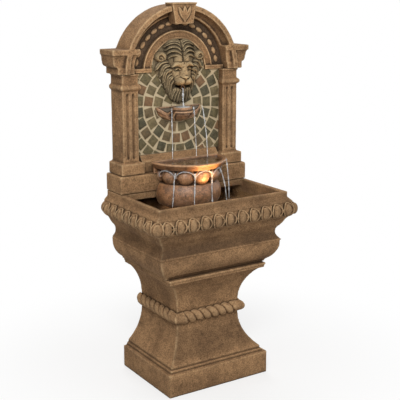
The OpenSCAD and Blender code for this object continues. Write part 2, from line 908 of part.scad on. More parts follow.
module lion_mask() {
    rim_h = 4;
    n = lion_spokes;
    front = [for (k = [1:lion_rings]) for (i = [0:n - 1])
        let(a = spoke(i), r = edge(a) * k / lion_rings, x = r * cos(a), z = r * sin(a),
            h = max(rim_h, relief(x, z)) * (k == lion_rings ? 0.55 : 1))
            [x, -h, z]];
    back = [for (i = [0:n - 1]) let(a = spoke(i)) [edge(a) * cos(a), 0, edge(a) * sin(a)]];
    middle = len(front) + n;
    faces = concat(
        [for (i = [0:n - 1]) [middle, i, (i + 1) % n]],
        [for (k = [0:lion_rings - 1]) for (i = [0:n - 1])
            let(a = k * n + i, b = k * n + (i + 1) % n) each [[a, a + n, b + n], [a, b + n, b]]],
        [for (i = [0:n - 1]) [middle + 1, middle - n + (i + 1) % n, middle - n + i]]);
    color("#6f6552") placed() translate([0, -grout_far, lion_z])
        difference() {
            polyhedron(points = concat(front, back, [[0, -relief(0, 0), 0], [0, 0, 0]]),
                faces = faces, convexity = 10);
            translate([0, 0, mouth_z - lion_z]) bar_y(spout_r + spout_lip + loose, -1, 90);
        }
}

spout_r = 6.5;
spout_lip = 1;
spout_far = grout_far + 34;

module mouth_spout() {
    color(copper) placed() translate([0, 0, mouth_z])
        difference() {
            union() {
                bar_y(spout_r, slab_near + 5, spout_far);
                bar_y(spout_r + spout_lip, spout_far - 3, spout_far);
            }
            bar_y(spout_r - 1.2, slab_near, spout_far + 1);
        }
}

// Upper bowl: a front lobe between two side lobes, open at the top and flat at the back.
// Its rim dips where the lobes meet, and the water runs over there.
cup_z = spring_z - 121;
cup_wall = 6;
cup_rim_h = 9;
cup_dip = 20;
cup_spokes = 36;
cup_levels = 6;
front_r = 0.41 * cup_half;
front_y = cup_out - front_r;
side_x = 0.66 * cup_half;
side_r = cup_half - side_x;
side_deep = 0.36 * cup_out;

// How far the edge of an oval lies from the middle of the back, at angle t off the front
function to_oval(t, x, y, a, b) = let(
    p = pow(sin(t) / a, 2) + pow(cos(t) / b, 2),
    q = sin(t) * x / (a * a) + cos(t) * y / (b * b),
    u = pow(x / a, 2) + pow(y / b, 2) - 1,
    d = q * q - p * u) d < 0 ? 0 : (q + sqrt(d)) / p;
function cup_at(t) = max(to_oval(abs(t), 0, front_y, front_r, front_r),
    to_oval(abs(t), side_x, 0, side_r, side_deep));
// The lobes meet at this angle off the front
cup_cusp = 69;
function cup_edge(t) = -cup_dip * pow(max(0, 1 - abs(abs(t) - cup_cusp) / 18), 1.5);
// A point of a skin, from how far it is out at angle t and its height
function cup_point(t, r, z) = [r * sin(t), -r * cos(t), z];
// The outside: level 0 is the rim, level 1 its lower edge, and the rest are the lobes
function cup_outside(t, j) = j == 0 ? cup_point(t, cup_at(t), cup_edge(t))
    : j == 1 ? cup_point(t, cup_at(t), cup_edge(t) - cup_rim_h)
    : let(v = 90 * (j - 2) / (cup_levels - 2), e = cup_rim_h + 2 - cup_edge(t))
        cup_point(t, (cup_at(t) - 4) * cos(v), -e - (cup_deep - e) * sin(v));
function cup_inside(t, j) = let(v = 90 * j / cup_levels, e = -cup_edge(t),
    p = cup_point(t, (cup_at(t) - cup_wall) * cos(v), -e - (cup_deep - cup_wall - e) * sin(v)))
    [p[0], min(p[1], -cup_wall), p[2]];

// The bowl's outline on the wall, with a gap round it
module cup_outline(gap) {
    grow = 1 + gap / cup_deep;
    right = [for (j = [0:cup_levels - 1]) let(p = cup_outside(90, j))
        [p[0] * grow, j == 0 ? gap : p[2] * grow]];
    left = [for (j = [cup_levels - 1:-1:0]) [-right[j][0], right[j][1]]];
    translate([0, cup_z]) polygon(concat(right, [[0, -cup_deep * grow]], left));
}

module upper_bowl() {
    n = cup_spokes;
    m = cup_levels;
    half = (n + 1) * m;
    angles = [for (i = [0:n]) -90 + 180 * i / n];
    outside = [for (t = angles) for (j = [0:m - 1]) cup_outside(t, j)];
    inside = [for (t = angles) for (j = [0:m - 1]) cup_inside(t, j)];
    bottoms = [[0, 0, -cup_deep], [0, -cup_wall, cup_wall - cup_deep]];
    end = 2 * half;
    skins = [for (i = [0:n - 1]) for (j = [0:m - 1])
        let(a = i * m + j, b = a + m, c = j == m - 1 ? end : b + 1, d = a + 1,
            e = half + a, f = half + b, g = j == m - 1 ? end + 1 : f + 1, h = e + 1)
            each j == m - 1 ? [[a, b, c], [e, g, f]]
                : [[a, b, c], [a, c, d], [e, g, f], [e, h, g]]];
    rim = [for (i = [0:n - 1]) let(a = i * m, b = a + m)
        each [[half + a, half + b, b], [half + a, b, a]]];
    backs = [[0, n * m, half + n * m, half],
        concat([n * m], [for (j = [0:m - 1]) j], [end], [for (j = [m - 1:-1:1]) n * m + j]),
        concat([half], [for (j = [0:m - 1]) half + n * m + j], [end + 1],
            [for (j = [m - 1:-1:1]) half + j])];
    color(copper) placed() translate([0, -grout_far, cup_z])
        polyhedron(points = concat(outside, inside, bottoms), faces = concat(skins, rim, backs),
            convexity = 8);
}

// Lower bowl: round lobes under a flaring lip, half a circle against the base block
bowl_y = base_d + 1;
bowl_low = rim_z + 28;
lobe_r = 30;
lobe_out = bowl_r - 48;
lobe_z = rim_z + 54;
lip_foot = bowl_up - 25;
bowl_floor = 12;
bowl_in = lobe_out - 5;
lobes = 7;
spill_r = 4;

module bowl_outline() {
    r = bowl_r - 18;
    polygon([[0, bowl_low], [lobe_out, bowl_low], [lobe_out, rim_z + lip_foot],
        [r, rim_z + lip_foot], [r + 5, rim_z + lip_foot + 4], [bowl_r - 3, bowl_z - 9],
        [bowl_r, bowl_z - 5], [bowl_r, bowl_z - 2], [bowl_r - 3, bowl_z], [0, bowl_z]]);
}

module bowl_hollow() {
    polygon([[0, bowl_low + bowl_floor], [bowl_in - 14, bowl_low + bowl_floor],
        [bowl_in, bowl_low + bowl_floor + 14], [bowl_in, rim_z + lip_foot],
        [bowl_r - 16, bowl_z - 9], [bowl_r - 11, bowl_z + 1], [0, bowl_z + 1]]);
}

// Keeps the half in front of the block
module front_half(from, low, high) {
    intersection() {
        children();
        slab(2 * bowl_r, from, depth, low, high);
    }
}

module lower_bowl() {
    color(copper) placed() {
        difference() {
            front_half(bowl_y, bowl_low, bowl_z)
                translate([0, -bowl_y, 0]) {
                    rotate_extrude() bowl_outline();
                    for (i = [0:lobes - 1]) rotate([0, 0, (i + 0.5 - lobes / 2) * lobe_step])
                        translate([0, -lobe_out, lobe_z]) sphere(lobe_r);
                }
            front_half(bowl_y + 2, bowl_low, bowl_z + 1)
                translate([0, -bowl_y, 0]) rotate_extrude() bowl_hollow();
            // spill holes in the hollows between the lobes
            for (i = [-3:2])
                translate([0, -bowl_y, rim_z + lip_foot - 8])
                    rotate([0, 0, (i + 0.5) * lobe_step])
                        bar_y(spill_r, bowl_in - 12, bowl_r);
        }
        // the back stands on the base block
        slab(bowl_r - 12, bowl_y - 10, bowl_y + 2, base_top + bond, bowl_z);
    }
}

// Drum: half a cushion shape on a skirt that stands over the pump
drum_low = rim_z - 51;
drum_mid = rim_z - 11;
drum_round = 60;
drum_wall = 12;
skirt_r = drum_r - 19;
arch_open = 24;

module drum() {
    color(copper) placed()
        difference() {
            front_half(base_d, tank_z, bowl_low)
                translate([0, -bowl_y, 0]) {
                    rotate_extrude()
                        intersection() {
                            union() {
                                translate([drum_r - drum_round, drum_mid])
                                    circle(drum_round, $fa = 3);
                                translate([0, drum_low])
                                    square([drum_r - drum_round, bowl_low - drum_low]);
                            }
                            translate([0, drum_low]) square([drum_r, bowl_low - drum_low]);
                        }
                    translate([0, 0, tank_z + loose])
                        cylinder(r = skirt_r, h = drum_low - tank_z + 1);
                }
            translate([0, -bowl_y, tank_z - 1])
                cylinder(r = skirt_r - drum_wall, h = bowl_low - drum_wall - tank_z + 1);
            // water comes in through three arches
            for (i = [-1:1]) translate([0, -bowl_y, tank_z]) rotate([0, 0, 52 * i]) {
                bar_y(arch_open, skirt_r - 30, skirt_r + 2);
            }
        }
}

// Pump: it stands on the tank's floor, and the hose lifts off its spigot with the panel
pump_near = 24;
pump_far = pump_near + pump_l;
pump_low = tank_z + 8;
axis_z = pump_low + pump_h / 2;
rotor_r = 9.6;
shaft_r = 1;
volute_l = 18;
chamber_r = impeller_r + 2;
volute_r = chamber_r + 4;
outlet_y = pump_far + 8;
hose_in = hose_r - hose_wall;
spigot_r = hose_in - running;
spigot_top = pump_low + pump_h + 32;
hose_low = spigot_top - 22;
neck_r = 11;
neck_l = 7;

module rounded_box(half_w, near, far, low, high, r) {
    upright(near, far) {
        translate([-half_w, low + r]) square([2 * half_w, high - low - 2 * r]);
        translate([-half_w + r, low]) square([2 * half_w - 2 * r, high - low]);
        for (side = [-1, 1]) for (z = [low + r, high - r])
            translate([side * (half_w - r), z]) circle(r);
    }
}

module pump_body() {
    color(plastic) placed()
        difference() {
            union() {
                rounded_box(pump_w / 2, pump_near, pump_far, pump_low, pump_low + pump_h, 8);
                // gland of the mains lead
                translate([0, 0, pump_low + pump_h - 14]) bar_y(7, pump_near - 5, pump_near + 1);
            }
            translate([0, 0, axis_z]) {
                bar_y(rotor_r + 0.6, pump_near + 6, pump_far + 1);
                bar_y(shaft_r + 0.02, pump_near + 2, pump_near + 7);
            }
        }
}

module volute() {
    front = pump_far + volute_l;
    color("#3b3f42") placed() translate([0, 0, axis_z])
        difference() {
            union() {
                difference() {
                    union() {
                        bar_y(volute_r, pump_far, front);
                        bar_y(neck_r, front - 1, front + neck_l);
                        translate([0, -outlet_y, 0])
                            cylinder(r = spigot_r, h = spigot_top - axis_z);
                        translate([0, -outlet_y, 0])
                            cylinder(r = spigot_r + 2, h = hose_low - axis_z - 1);
                    }
                    bar_y(chamber_r, pump_far - 1, front - 3);
                    bar_y(neck_r - 3, front - 4, front + neck_l + 1);
                    translate([0, -outlet_y, chamber_r - 5])
                        cylinder(r = spigot_r - 1.6, h = spigot_top);
                }
                // spider that holds the shaft's front end
                slab(1.5, front - 3, front, -neck_r + 1, neck_r - 1);
                bar_y(3, front - 3, front);
            }
            bar_y(shaft_r + 0.02, pump_far, front - 1);
        }
}

module impeller_shaft() {
    color("white") placed() translate([0, 0, axis_z])
        bar_y(shaft_r, pump_near + 2.2, pump_far + volute_l - 1.2);
}

module impeller() {
    hub_near = pump_far - 1;
    color("#d9d4c8") placed() translate([0, 0, axis_z])
        difference() {
            union() {
                bar_y(rotor_r, pump_near + 7, hub_near);
                bar_y(4.5, hub_near - 1, pump_far + 13.5);
                bar_y(impeller_r, pump_far + 1, pump_far + 2.6);
                for (i = [0:blades - 1]) rotate([0, i * 360 / blades, 0])
                    translate([3.5, -pump_far - 13, -0.8])
                        cube([impeller_r - 4.5, 11, 1.6]);
            }
            bar_y(shaft_r + running, pump_near, pump_far + volute_l);
        }
}

// A ring that turns on the inlet neck and shuts more or less of it
module flow_shutter() {
    near = pump_far + volute_l + 1;
    far = pump_far + volute_l + neck_l + 0.4;
    color("#7d8083") placed() translate([0, 0, axis_z])
        difference() {
            union() {
                bar_y(neck_r + 4.5, near, far + 1.8);
                slab(2.5, near, far, neck_r + 2, neck_r + 9);
            }
            bar_y(neck_r + running, near - 1, far);
            translate([2, -far - 3, -neck_r]) cube([neck_r, 6, 2 * neck_r]);
        }
}

// Strainer cover: slotted at the front and the sides, open at the back and over the spigot
module strainer() {
    wall = 2.2;
    near = pump_far - 4;
    far = pump_far + 48;
    half = pump_w / 2 + 0.4 + wall;
    low = pump_low - 0.4 - wall;
    high = pump_low + pump_h + 0.4 + wall;
    slots = 7;
    color(plastic) placed()
        difference() {
            rounded_box(half, near, far, low, high, 10);
            rounded_box(half - wall, near - 1, far - wall, low + wall, high - wall, 8);
            slab(spigot_r + 3, near - 1, outlet_y + spigot_r + 3, high - wall - 1, high + 1);
            for (i = [0:slots - 1])
                translate([(i - (slots - 1) / 2) * 7, 0, 0])
                    slab(1.5, far - 5, far + 1, low + 12, high - 12);
            for (i = [0:3])
                slab(half + 1, far - 12 - 7 * i, far - 9 - 7 * i, low + 12, high - 12);
        }
}

module suction_feet() {
    color(plastic) placed()
        for (side = [-1, 1]) for (d = [pump_near + 9, pump_near + 27])
            translate([side * (pump_w / 2 - 10), -d, tank_z]) rotate_extrude()
                polygon([[0, 1.5], [4, 1.5], [7, 0], [7.5, 0.8], [4, 4], [4, 8], [0, 8]]);
}

// Riser hose: off the spigot, back under the panel and up behind the wall slab
bend = 26;
turn_z = rim_z + 26;
hose_top = mouth_z - 26;

module hose_shape(r) {
    translate([0, -outlet_y, hose_low]) cylinder(r = r, h = turn_z - bend - hose_low);
    translate([0, -outlet_y + bend, turn_z - bend]) rotate([90, 0, -90])
        rotate_extrude(angle = 90) translate([bend, 0]) circle(r);
    translate([0, 0, turn_z]) bar_y(r, hose_y + bend, outlet_y - bend);
    translate([0, -hose_y - bend, turn_z + bend]) rotate([0, 90, 0])
        rotate_extrude(angle = 90) translate([bend, 0]) circle(r);
    translate([0, -hose_y, turn_z + bend]) cylinder(r = r, h = hose_top - turn_z - bend);
}

module riser_hose() {
    color("#d8dcd6", 0.7) placed()
        difference() {
            hose_shape(hose_r);
            hose_shape(hose_in);
            translate([0, -outlet_y, hose_low - 1]) cylinder(r = hose_in, h = 2);
            translate([0, -hose_y, hose_top - 1]) cylinder(r = hose_in, h = 2);
        }
}

module hose_clips() {
    color(plastic) placed()
        for (z = [hose_top - 100, hose_top - 30])
            difference() {
                union() {
                    translate([0, -hose_y, z]) cylinder(r = hose_r + 2.5, h = 12);
                    slab(7, hose_y, slab_near, z, z + 12);
                }
                translate([0, -hose_y, z - 1]) cylinder(r = hose_r + running, h = 14);
            }
}

// Elbow: its barb sits in the hose's end and its socket takes the mouth spout
module spout_elbow() {
    socket = slab_near + 5;
    bore = hose_in - 2;
    color(plastic) placed()
        difference() {
            union() {
                translate([0, -hose_y, hose_top - 12]) cylinder(r = hose_in - running, h = 13);
                translate([0, -hose_y, hose_top])
                    cylinder(r = elbow_r - 1, h = mouth_z - hose_top);
                translate([0, 0, mouth_z]) {
                    bar_y(elbow_r + 2, board_t + 2, slab_near - loose);
                    bar_y(elbow_r, slab_near - 1, grout_far);
                }
            }
            translate([0, -hose_y, hose_top - 13])
                cylinder(r = bore - 0.3, h = mouth_z - hose_top + 13);
            translate([0, 0, mouth_z]) {
                bar_y(bore, hose_y - 5, socket + 1);
                bar_y(spout_r + running, socket, grout_far + 1);
            }
        }
}

// Lamp: it tilts on a bracket that a suction disc holds to the tank's floor
lamp_x = 72;
lamp_y = 262;
lamp_z = tank_z + 31;
lamp_l = 36;
lamp_tilt = 35;
pivot_r = 3;
ear_gap = 1.5;
ear_t = 3;

module at_lamp() {
    translate([lamp_x, -lamp_y, lamp_z]) children();
}

module lamp_base() {
    color(plastic) placed() at_lamp()
        difference() {
            union() {
                translate([0, 0, tank_z - lamp_z]) rotate_extrude()
                    polygon([[0, 0], [20, 0], [20, 1.5], [12, 6], [0, 6]]);
                translate([0, 0, tank_z - lamp_z])
                    translate([-lamp_r - ear_gap - ear_t, -6, 2])
                        cube([2 * (lamp_r + ear_gap + ear_t), 12, 4]);
                for (side = [-1, 1])
                    translate([side * (lamp_r + ear_gap + ear_t / 2), 0, 0]) {
                        translate([-ear_t / 2, -6, tank_z - lamp_z + 2])
                            cube([ear_t, 12, lamp_z - tank_z - 2]);
                        rotate([0, 90, 0]) cylinder(r = 6, h = ear_t, center = true);
                    }
            }
            rotate([0, 90, 0])
                cylinder(r = pivot_r + running, h = 4 * lamp_r, center = true);
        }
}

module lamp_body() {
    color(plastic) placed() at_lamp() {
        rotate([-lamp_tilt, 0, 0])
            difference() {
                union() {
                    translate([0, 0, -lamp_l / 2]) cylinder(r = lamp_r, h = lamp_l);
                    translate([0, 0, -lamp_l / 2 - 5]) cylinder(r = 5, h = 6);
                }
                translate([0, 0, lamp_l / 2 - 9]) cylinder(r = lamp_r - 2, h = 10);
            }
        for (side = [-1, 1]) rotate([0, side * 90, 0])
            translate([0, 0, lamp_r - 2]) cylinder(r = pivot_r, h = ear_gap + ear_t + 2);
    }
}

module lamp_lens() {
    color("#ffe2a8") placed() at_lamp()
        rotate([-lamp_tilt, 0, 0])
            translate([0, 0, lamp_l / 2 - 9]) cylinder(r = lamp_r - 2 - running, h = 7);
}

pedestal();
rope_band();
basin();
egg_band();
eggs();
drain_plug();
panel_base();
left_pier();
right_pier();
wall_slab();
rear_board();
arch_cornice();
inner_arch();
bead_course();
keystone();
sill();
grout_bed();
mosaic_tiles();
lion_mask();
mouth_spout();
upper_bowl();
lower_bowl();
drum();
riser_hose();
spout_elbow();
hose_clips();
cord_grommet();
access_door();
pump_body();
volute();
strainer();
impeller();
impeller_shaft();
flow_shutter();
suction_feet();
lamp_base();
lamp_body();
lamp_lens();
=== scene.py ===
import random
from contextlib import contextmanager
from math import atan2, copysign, cos, degrees, exp, hypot, pi, radians, sin, sqrt

import bpy
import numpy as np
from mathutils import Matrix, Vector


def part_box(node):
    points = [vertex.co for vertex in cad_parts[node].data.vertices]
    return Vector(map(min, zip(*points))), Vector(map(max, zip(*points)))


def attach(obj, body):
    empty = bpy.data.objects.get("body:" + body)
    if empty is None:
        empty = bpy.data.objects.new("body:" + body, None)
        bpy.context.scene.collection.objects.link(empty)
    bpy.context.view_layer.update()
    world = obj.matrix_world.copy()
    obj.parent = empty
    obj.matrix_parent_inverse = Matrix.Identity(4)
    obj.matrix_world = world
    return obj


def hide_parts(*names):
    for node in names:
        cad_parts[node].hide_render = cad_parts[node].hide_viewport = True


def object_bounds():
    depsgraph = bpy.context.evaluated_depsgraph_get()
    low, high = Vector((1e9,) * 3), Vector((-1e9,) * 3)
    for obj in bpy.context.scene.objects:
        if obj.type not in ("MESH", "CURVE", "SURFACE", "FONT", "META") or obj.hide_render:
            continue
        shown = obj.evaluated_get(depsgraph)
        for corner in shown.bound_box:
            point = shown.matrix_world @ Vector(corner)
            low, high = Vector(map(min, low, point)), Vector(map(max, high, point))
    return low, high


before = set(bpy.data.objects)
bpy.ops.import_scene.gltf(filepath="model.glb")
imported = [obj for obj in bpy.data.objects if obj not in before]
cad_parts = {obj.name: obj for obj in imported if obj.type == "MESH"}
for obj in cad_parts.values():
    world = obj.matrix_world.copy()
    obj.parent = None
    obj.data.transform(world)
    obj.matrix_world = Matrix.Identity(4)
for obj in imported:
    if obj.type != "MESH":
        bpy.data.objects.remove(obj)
cad_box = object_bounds()

# The view of the fountain: from the left of its panel and a little above it, with a long
# lens. The camera's place was fitted to the straight edges of the photograph.


def put(name, data):
    """A new object in the scene."""
    thing = bpy.data.objects.new(name, data)
    bpy.context.scene.collection.objects.link(thing)
    return thing


camera = put("camera", bpy.data.cameras.new("camera"))
camera.data.sensor_width = 36
camera.data.lens = 80.65
camera.data.clip_end = 100
camera.location = (-1.6219, -2.5134, 1.3642)
camera.rotation_euler = (radians(76.31), 0, radians(-32.85))
bpy.context.scene.camera = camera
bpy.context.scene.view_settings.view_transform = "Standard"

# The floor is pale and matt and fades to white away from the fountain, so that only the
# fountain's own shadow shows on it.


class Shader:
    """A material or the world, built up node by node. An input that is given as a node is
    joined to the first output of that node."""

    def __init__(self, owner):
        owner.use_nodes = True
        self.owner = owner
        self.tree = owner.node_tree
        self.tree.nodes.clear()
        self.place = self.add("TexCoord").outputs["Object"]

    def add(self, kind, inputs=None, **settings):
        node = self.tree.nodes.new("ShaderNode" + kind)
        for key, value in settings.items():
            setattr(node, key, value)
        for key, value in (inputs or {}).items():
            if isinstance(value, bpy.types.Node):
                value = value.outputs[0]
            if isinstance(value, bpy.types.NodeSocket):
                self.tree.links.new(value, node.inputs[key])
            else:
                node.inputs[key].default_value = value
        return node

    def noise(self, scale, detail, roughness=0.5, place=None):
        return self.add("TexNoise", {"Vector": place or self.place, "Scale": scale,
                                     "Detail": detail, "Roughness": roughness})

    def cells(self, scale):
        return self.add("TexVoronoi", {"Vector": self.place, "Scale": scale, "Randomness": 1.0})

    def layer(self, name):
        return self.add("Attribute", attribute_name=name).outputs["Fac"]

    def fit(self, value, low, high, to_low=0.0, to_high=1.0, **settings):
        return self.add("MapRange", {"Value": value, "From Min": low, "From Max": high,
                                     "To Min": to_low, "To Max": to_high}, **settings)

    def combine(self, operation, one, other):
        return self.add("Math", {0: one, 1: other}, operation=operation)

    def mix(self, share, one, other, kind="MixRGB"):
        return self.add(kind, {0: share, 1: one, 2: other})

    def bump(self, height, strength, distance):
        return self.add("Bump", {"Height": height, "Strength": strength, "Distance": distance})

    def seen(self):
        """1 where a ray comes from the camera, straight, off a mirror or through glass."""
        path = self.add("LightPath")
        seen = self.combine("MAXIMUM", path.outputs["Is Camera Ray"], path.outputs["Is Glossy Ray"])
        return self.combine("MAXIMUM", seen, path.outputs["Is Transmission Ray"])

    def cover(self, colour, roughness, others):
        """Ends the material in a skin, and gives the material."""
        skin = self.add("BsdfPrincipled", {"Base Color": colour, "Roughness": roughness, **others})
        self.add("OutputMaterial", {"Surface": skin})
        return self.owner


def new_finish(name):
    """A new material, ready for its nodes."""
    return Shader(bpy.data.materials.new(name))


floor_r = 3.2
below_feet = 0.0005
bpy.ops.mesh.primitive_circle_add(vertices=96, radius=floor_r, fill_type="NGON",
                                  location=(0, 0, -below_feet))
floor = bpy.context.object
floor.name = "floor"
matt = new_finish("floor")
away = matt.add("VectorMath", {0: matt.place}, operation="LENGTH").outputs["Value"]
fade = matt.fit(away, 0.30, 1.1, 0.62, 1.0, interpolation_type="SMOOTHSTEP")
seen = matt.seen()
# it throws back less light than it shows, as it would with a dark room round it
shade = matt.mix(seen, (0.48, 0.48, 0.48, 1), (0.92, 0.92, 0.92, 1))
ground = matt.add("BsdfDiffuse", {"Color": shade})
white = matt.add("Emission", {"Color": (1, 1, 1, 1), "Strength": 1.0})
mixed = matt.mix(matt.combine("MULTIPLY", seen, fade), ground, white, "MixShader")
matt.add("OutputMaterial", {"Surface": mixed})
floor.data.materials.append(matt.owner)

# The studio: a soft even surround that shows as white, a large key light high at the front
# left, a weaker fill at the right and a rim light behind.
studio = Shader(bpy.data.worlds.new("studio"))
bpy.context.scene.world = studio.owner
soft = studio.add("Background", {"Color": (1, 0.985, 0.96, 1), "Strength": 0.40})
white = studio.add("Background", {"Color": (1, 1, 1, 1), "Strength": 1.0})
studio.add("OutputWorld", {"Surface": studio.mix(studio.seen(), soft, white, "MixShader")})
aim = Vector((0, 0, 0.65))
for name, spot, size, power in (("key", (-1.5, -2.3, 2.6), 1.1, 83),
                                ("fill", (2.4, -2.2, 1.5), 1.8, 14),
                                ("rim", (0.8, 2.2, 2.6), 1.5, 26)):
    light = put(name, bpy.data.lights.new(name, "AREA"))
    light.data.size = size
    light.data.energy = power
    light.location = spot
    light.rotation_euler = (aim - Vector(spot)).to_track_quat("-Z", "Y").to_euler()

# The pedestal: a hollow casting of stone dust in resin, stained brown. The stain is rubbed
# off its edges; its hollows are darkened by stain left there and by painted shade. Each
# casting here starts as a copy of its solid, whose faces are made small and even; then its
# edges go round and its faces uneven.


def copy_node(name, cad):
    """A loose copy of a CAD node, to be worked on."""
    return put(name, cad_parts[cad].data.copy())


def pick(*pieces):
    """Selects only these pieces and makes the first one active."""
    bpy.ops.object.select_all(action="DESELECT")
    for piece in pieces:
        piece.select_set(True)
    bpy.context.view_layer.objects.active = pieces[0]


@contextmanager
def whole_mesh(piece):
    """Picks a piece for edits to the whole of its mesh."""
    pick(piece)
    bpy.ops.object.mode_set(mode="EDIT")
    bpy.ops.mesh.select_all(action="SELECT")
    yield
    bpy.ops.object.mode_set(mode="OBJECT")


def merge_points(piece):
    with whole_mesh(piece):
        bpy.ops.mesh.remove_doubles(threshold=0.00001)


def modify(piece, kind, **settings):
    """Gives the picked piece a modifier and applies it."""
    modifier = piece.modifiers.new(kind, kind)
    for key, value in settings.items():
        setattr(modifier, key, value)
    bpy.ops.object.modifier_apply(modifier=kind)


def read_points(mesh, what="co"):
    """The places or the normals of a mesh's points, in rows of three."""
    values = np.empty(len(mesh.vertices) * 3)
    mesh.vertices.foreach_get(what, values)
    return values.reshape(-1, 3)


def read_edges(mesh):
    """The two ends of each edge of a mesh."""
    ends = np.empty(len(mesh.edges) * 2, dtype=np.int64)
    mesh.edges.foreach_get("vertices", ends)
    return ends.reshape(-1, 2)


def write_layer(mesh, name, values):
    """Keeps a value for each point of a mesh, which its material reads."""
    layer = mesh.attributes.get(name) or mesh.attributes.new(name, "FLOAT", "POINT")
    layer.data.foreach_set("value", values.astype(np.float32))


def mark_wear(mesh):
    """Writes how far each point stands out (wear) or lies in a hollow (grime_and_shade), where it
    is darkened as grime and as painted shade.
    """
    count = len(mesh.vertices)
    place, normal = read_points(mesh), read_points(mesh, "normal")
    ends = read_edges(mesh)
    one = np.concatenate([ends[:, 0], ends[:, 1]])
    other = np.concatenate([ends[:, 1], ends[:, 0]])
    around = np.maximum(np.bincount(one, minlength=count), 1)

    def mean_of_neighbours(values):
        return np.bincount(one, weights=values[other], minlength=count) / around

    towards = np.stack([mean_of_neighbours(place[:, k]) for k in range(3)], 1) - place
    span = ((place[one] - place[other]) ** 2).sum(1)
    bend = -(towards * normal).sum(1) * around / np.bincount(one, weights=span, minlength=count)
    for _ in range(3):
        bend = 0.4 * bend + 0.6 * mean_of_neighbours(bend)
    broad = bend.copy()
    for _ in range(10):
        broad = mean_of_neighbours(broad)
    # hollows, down to broad coves, get grime_and_shade: grime, and painted shade
    bare_bend, filled_bend = 75, 80
    write_layer(mesh, "wear", np.clip(bend / bare_bend, 0, 1))
    write_layer(mesh, "grime_and_shade", np.clip(-(bend + 1.5 * broad) / filled_bend, 0, 1))


def wear_down(piece, grain, unevenness=0.0009, rounding=1, bump_size=0.02, less=1.0):
    """Gives a piece a mesh of one grain (if any), rounds it, and makes it uneven and worn."""
    merge_points(piece)
    if grain:
        modify(piece, "REMESH", mode="VOXEL", voxel_size=grain, adaptivity=0)
    modify(piece, "SMOOTH", factor=0.5, iterations=rounding)
    clouds = bpy.data.textures.new(piece.name, "CLOUDS")
    clouds.noise_scale = bump_size
    clouds.noise_depth = 3
    modify(piece, "DISPLACE", texture=clouds, texture_coords="LOCAL", strength=unevenness,
           mid_level=0.75)
    if less < 1:
        modify(piece, "DECIMATE", ratio=less)
    # no bump may stand out beyond the solids, or below the floor
    place = np.clip(read_points(piece.data), cad_box[0], cad_box[1])
    piece.data.vertices.foreach_set("co", place.reshape(-1))
    mark_wear(piece.data)
    bpy.ops.object.shade_smooth()


def thicken_stain_and_shade(piece, low, high, sharp, front, side=0.0):
    """Darkens a band between two heights, sharp at its lower edge: as stain left thick in one place
    and as painted shade in others. It has one strength on the faces to the front and another on the
    rest."""
    mesh = piece.data
    z, outward = read_points(mesh)[:, 2], read_points(mesh, "normal")[:, 1]
    band_darkening = np.clip((z - low) / sharp, 0, 1) * np.clip((high - z) / (0.6 * (high - low)), 0, 1)
    band_darkening = band_darkening * np.where(outward < -0.4, front, side)
    grime_and_shade = np.empty(len(mesh.vertices), dtype=np.float32)
    mesh.attributes["grime_and_shade"].data.foreach_get("value", grime_and_shade)
    write_layer(mesh, "grime_and_shade", np.maximum(grime_and_shade, band_darkening))


def stone_finish(name, pale, middle, dark, worn, gloss=0.85, grit=1.0, patch=9.0, stains=0.38,
                 crown=None):
    """Stained cast stone: patches of tone, pits, hollows darkened by grime and by painted shade,
    and edges rubbed pale. A crown is the colour where the stain is thin, laid on as a painted
    highlight too."""
    stone = new_finish(name)
    colour = stone.mix(stone.fit(stone.noise(patch, 7, 0.65), 0.38, 0.62), middle, pale)
    if crown:
        colour = stone.mix(stone.layer("crown"), colour, crown)
    mottle = stone.noise(60, 5, 0.7)
    colour = stone.mix(stone.fit(mottle, 0.48, 0.70, 0.0, stains), colour, dark)
    grains = stone.noise(250, 4, 0.8)
    grain = stone.fit(grains, 0.40, 0.60, 0.60, 1.40)
    colour = stone.add("VectorMath", {0: colour, 1: grain}, operation="MULTIPLY")
    pit = stone.fit(stone.cells(190), 0.06, 0.28, 1.0, 0.0)
    pit = stone.combine("MULTIPLY", pit, stone.fit(stone.noise(30, 2), 0.50, 0.62))
    rub = stone.fit(mottle, 0.32, 0.62, 1.0, 0.3)
    colour = stone.mix(stone.combine("MULTIPLY", stone.layer("wear"), rub), colour, worn)
    # painted shade: ambient occlusion, near and far, darkens corners, creases and the hollows under
    # mouldings
    near = stone.add("AmbientOcclusion", {"Distance": 0.016}, samples=10).outputs["AO"]
    far = stone.add("AmbientOcclusion", {"Distance": 0.13}, samples=10).outputs["AO"]
    painted_shade_grime_pits = stone.combine("MAXIMUM", stone.fit(near, 0.40, 0.85, 0.80, 0.0),
                      stone.fit(far, 0.15, 0.72, 0.70, 0.0))
    painted_shade_grime_pits = stone.combine("MAXIMUM", stone.combine("MULTIPLY", stone.layer("grime_and_shade"), 0.9), painted_shade_grime_pits)
    painted_shade_grime_pits = stone.combine("MAXIMUM", painted_shade_grime_pits, pit)
    height = stone.combine("SUBTRACT", stone.combine("ADD", grains, mottle), pit)
    return stone.cover(stone.mix(painted_shade_grime_pits, colour, dark), gloss,
                       {"Specular IOR Level": 0.12 if gloss > 0.6 else 0.5,
                        "Normal": stone.bump(height, 0.7, 0.0018 * grit)})


def set_in_place(piece, body, material, cad_nodes):
    """Gives a piece its finish and its body, and hides the CAD nodes that it stands for."""
    piece.data.materials.clear()
    piece.data.materials.append(material)
    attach(piece, body)
    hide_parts(*cad_nodes)


brown_stone = stone_finish("brown_stone", pale=(0.37, 0.215, 0.105, 1),
                           middle=(0.22, 0.125, 0.062, 1), dark=(0.045, 0.027, 0.016, 1),
                           worn=(0.62, 0.43, 0.24, 1))
pedestal = copy_node("pedestal_casting", "pedestal")
wear_down(pedestal, 0.0027, 0.0011, less=0.45)
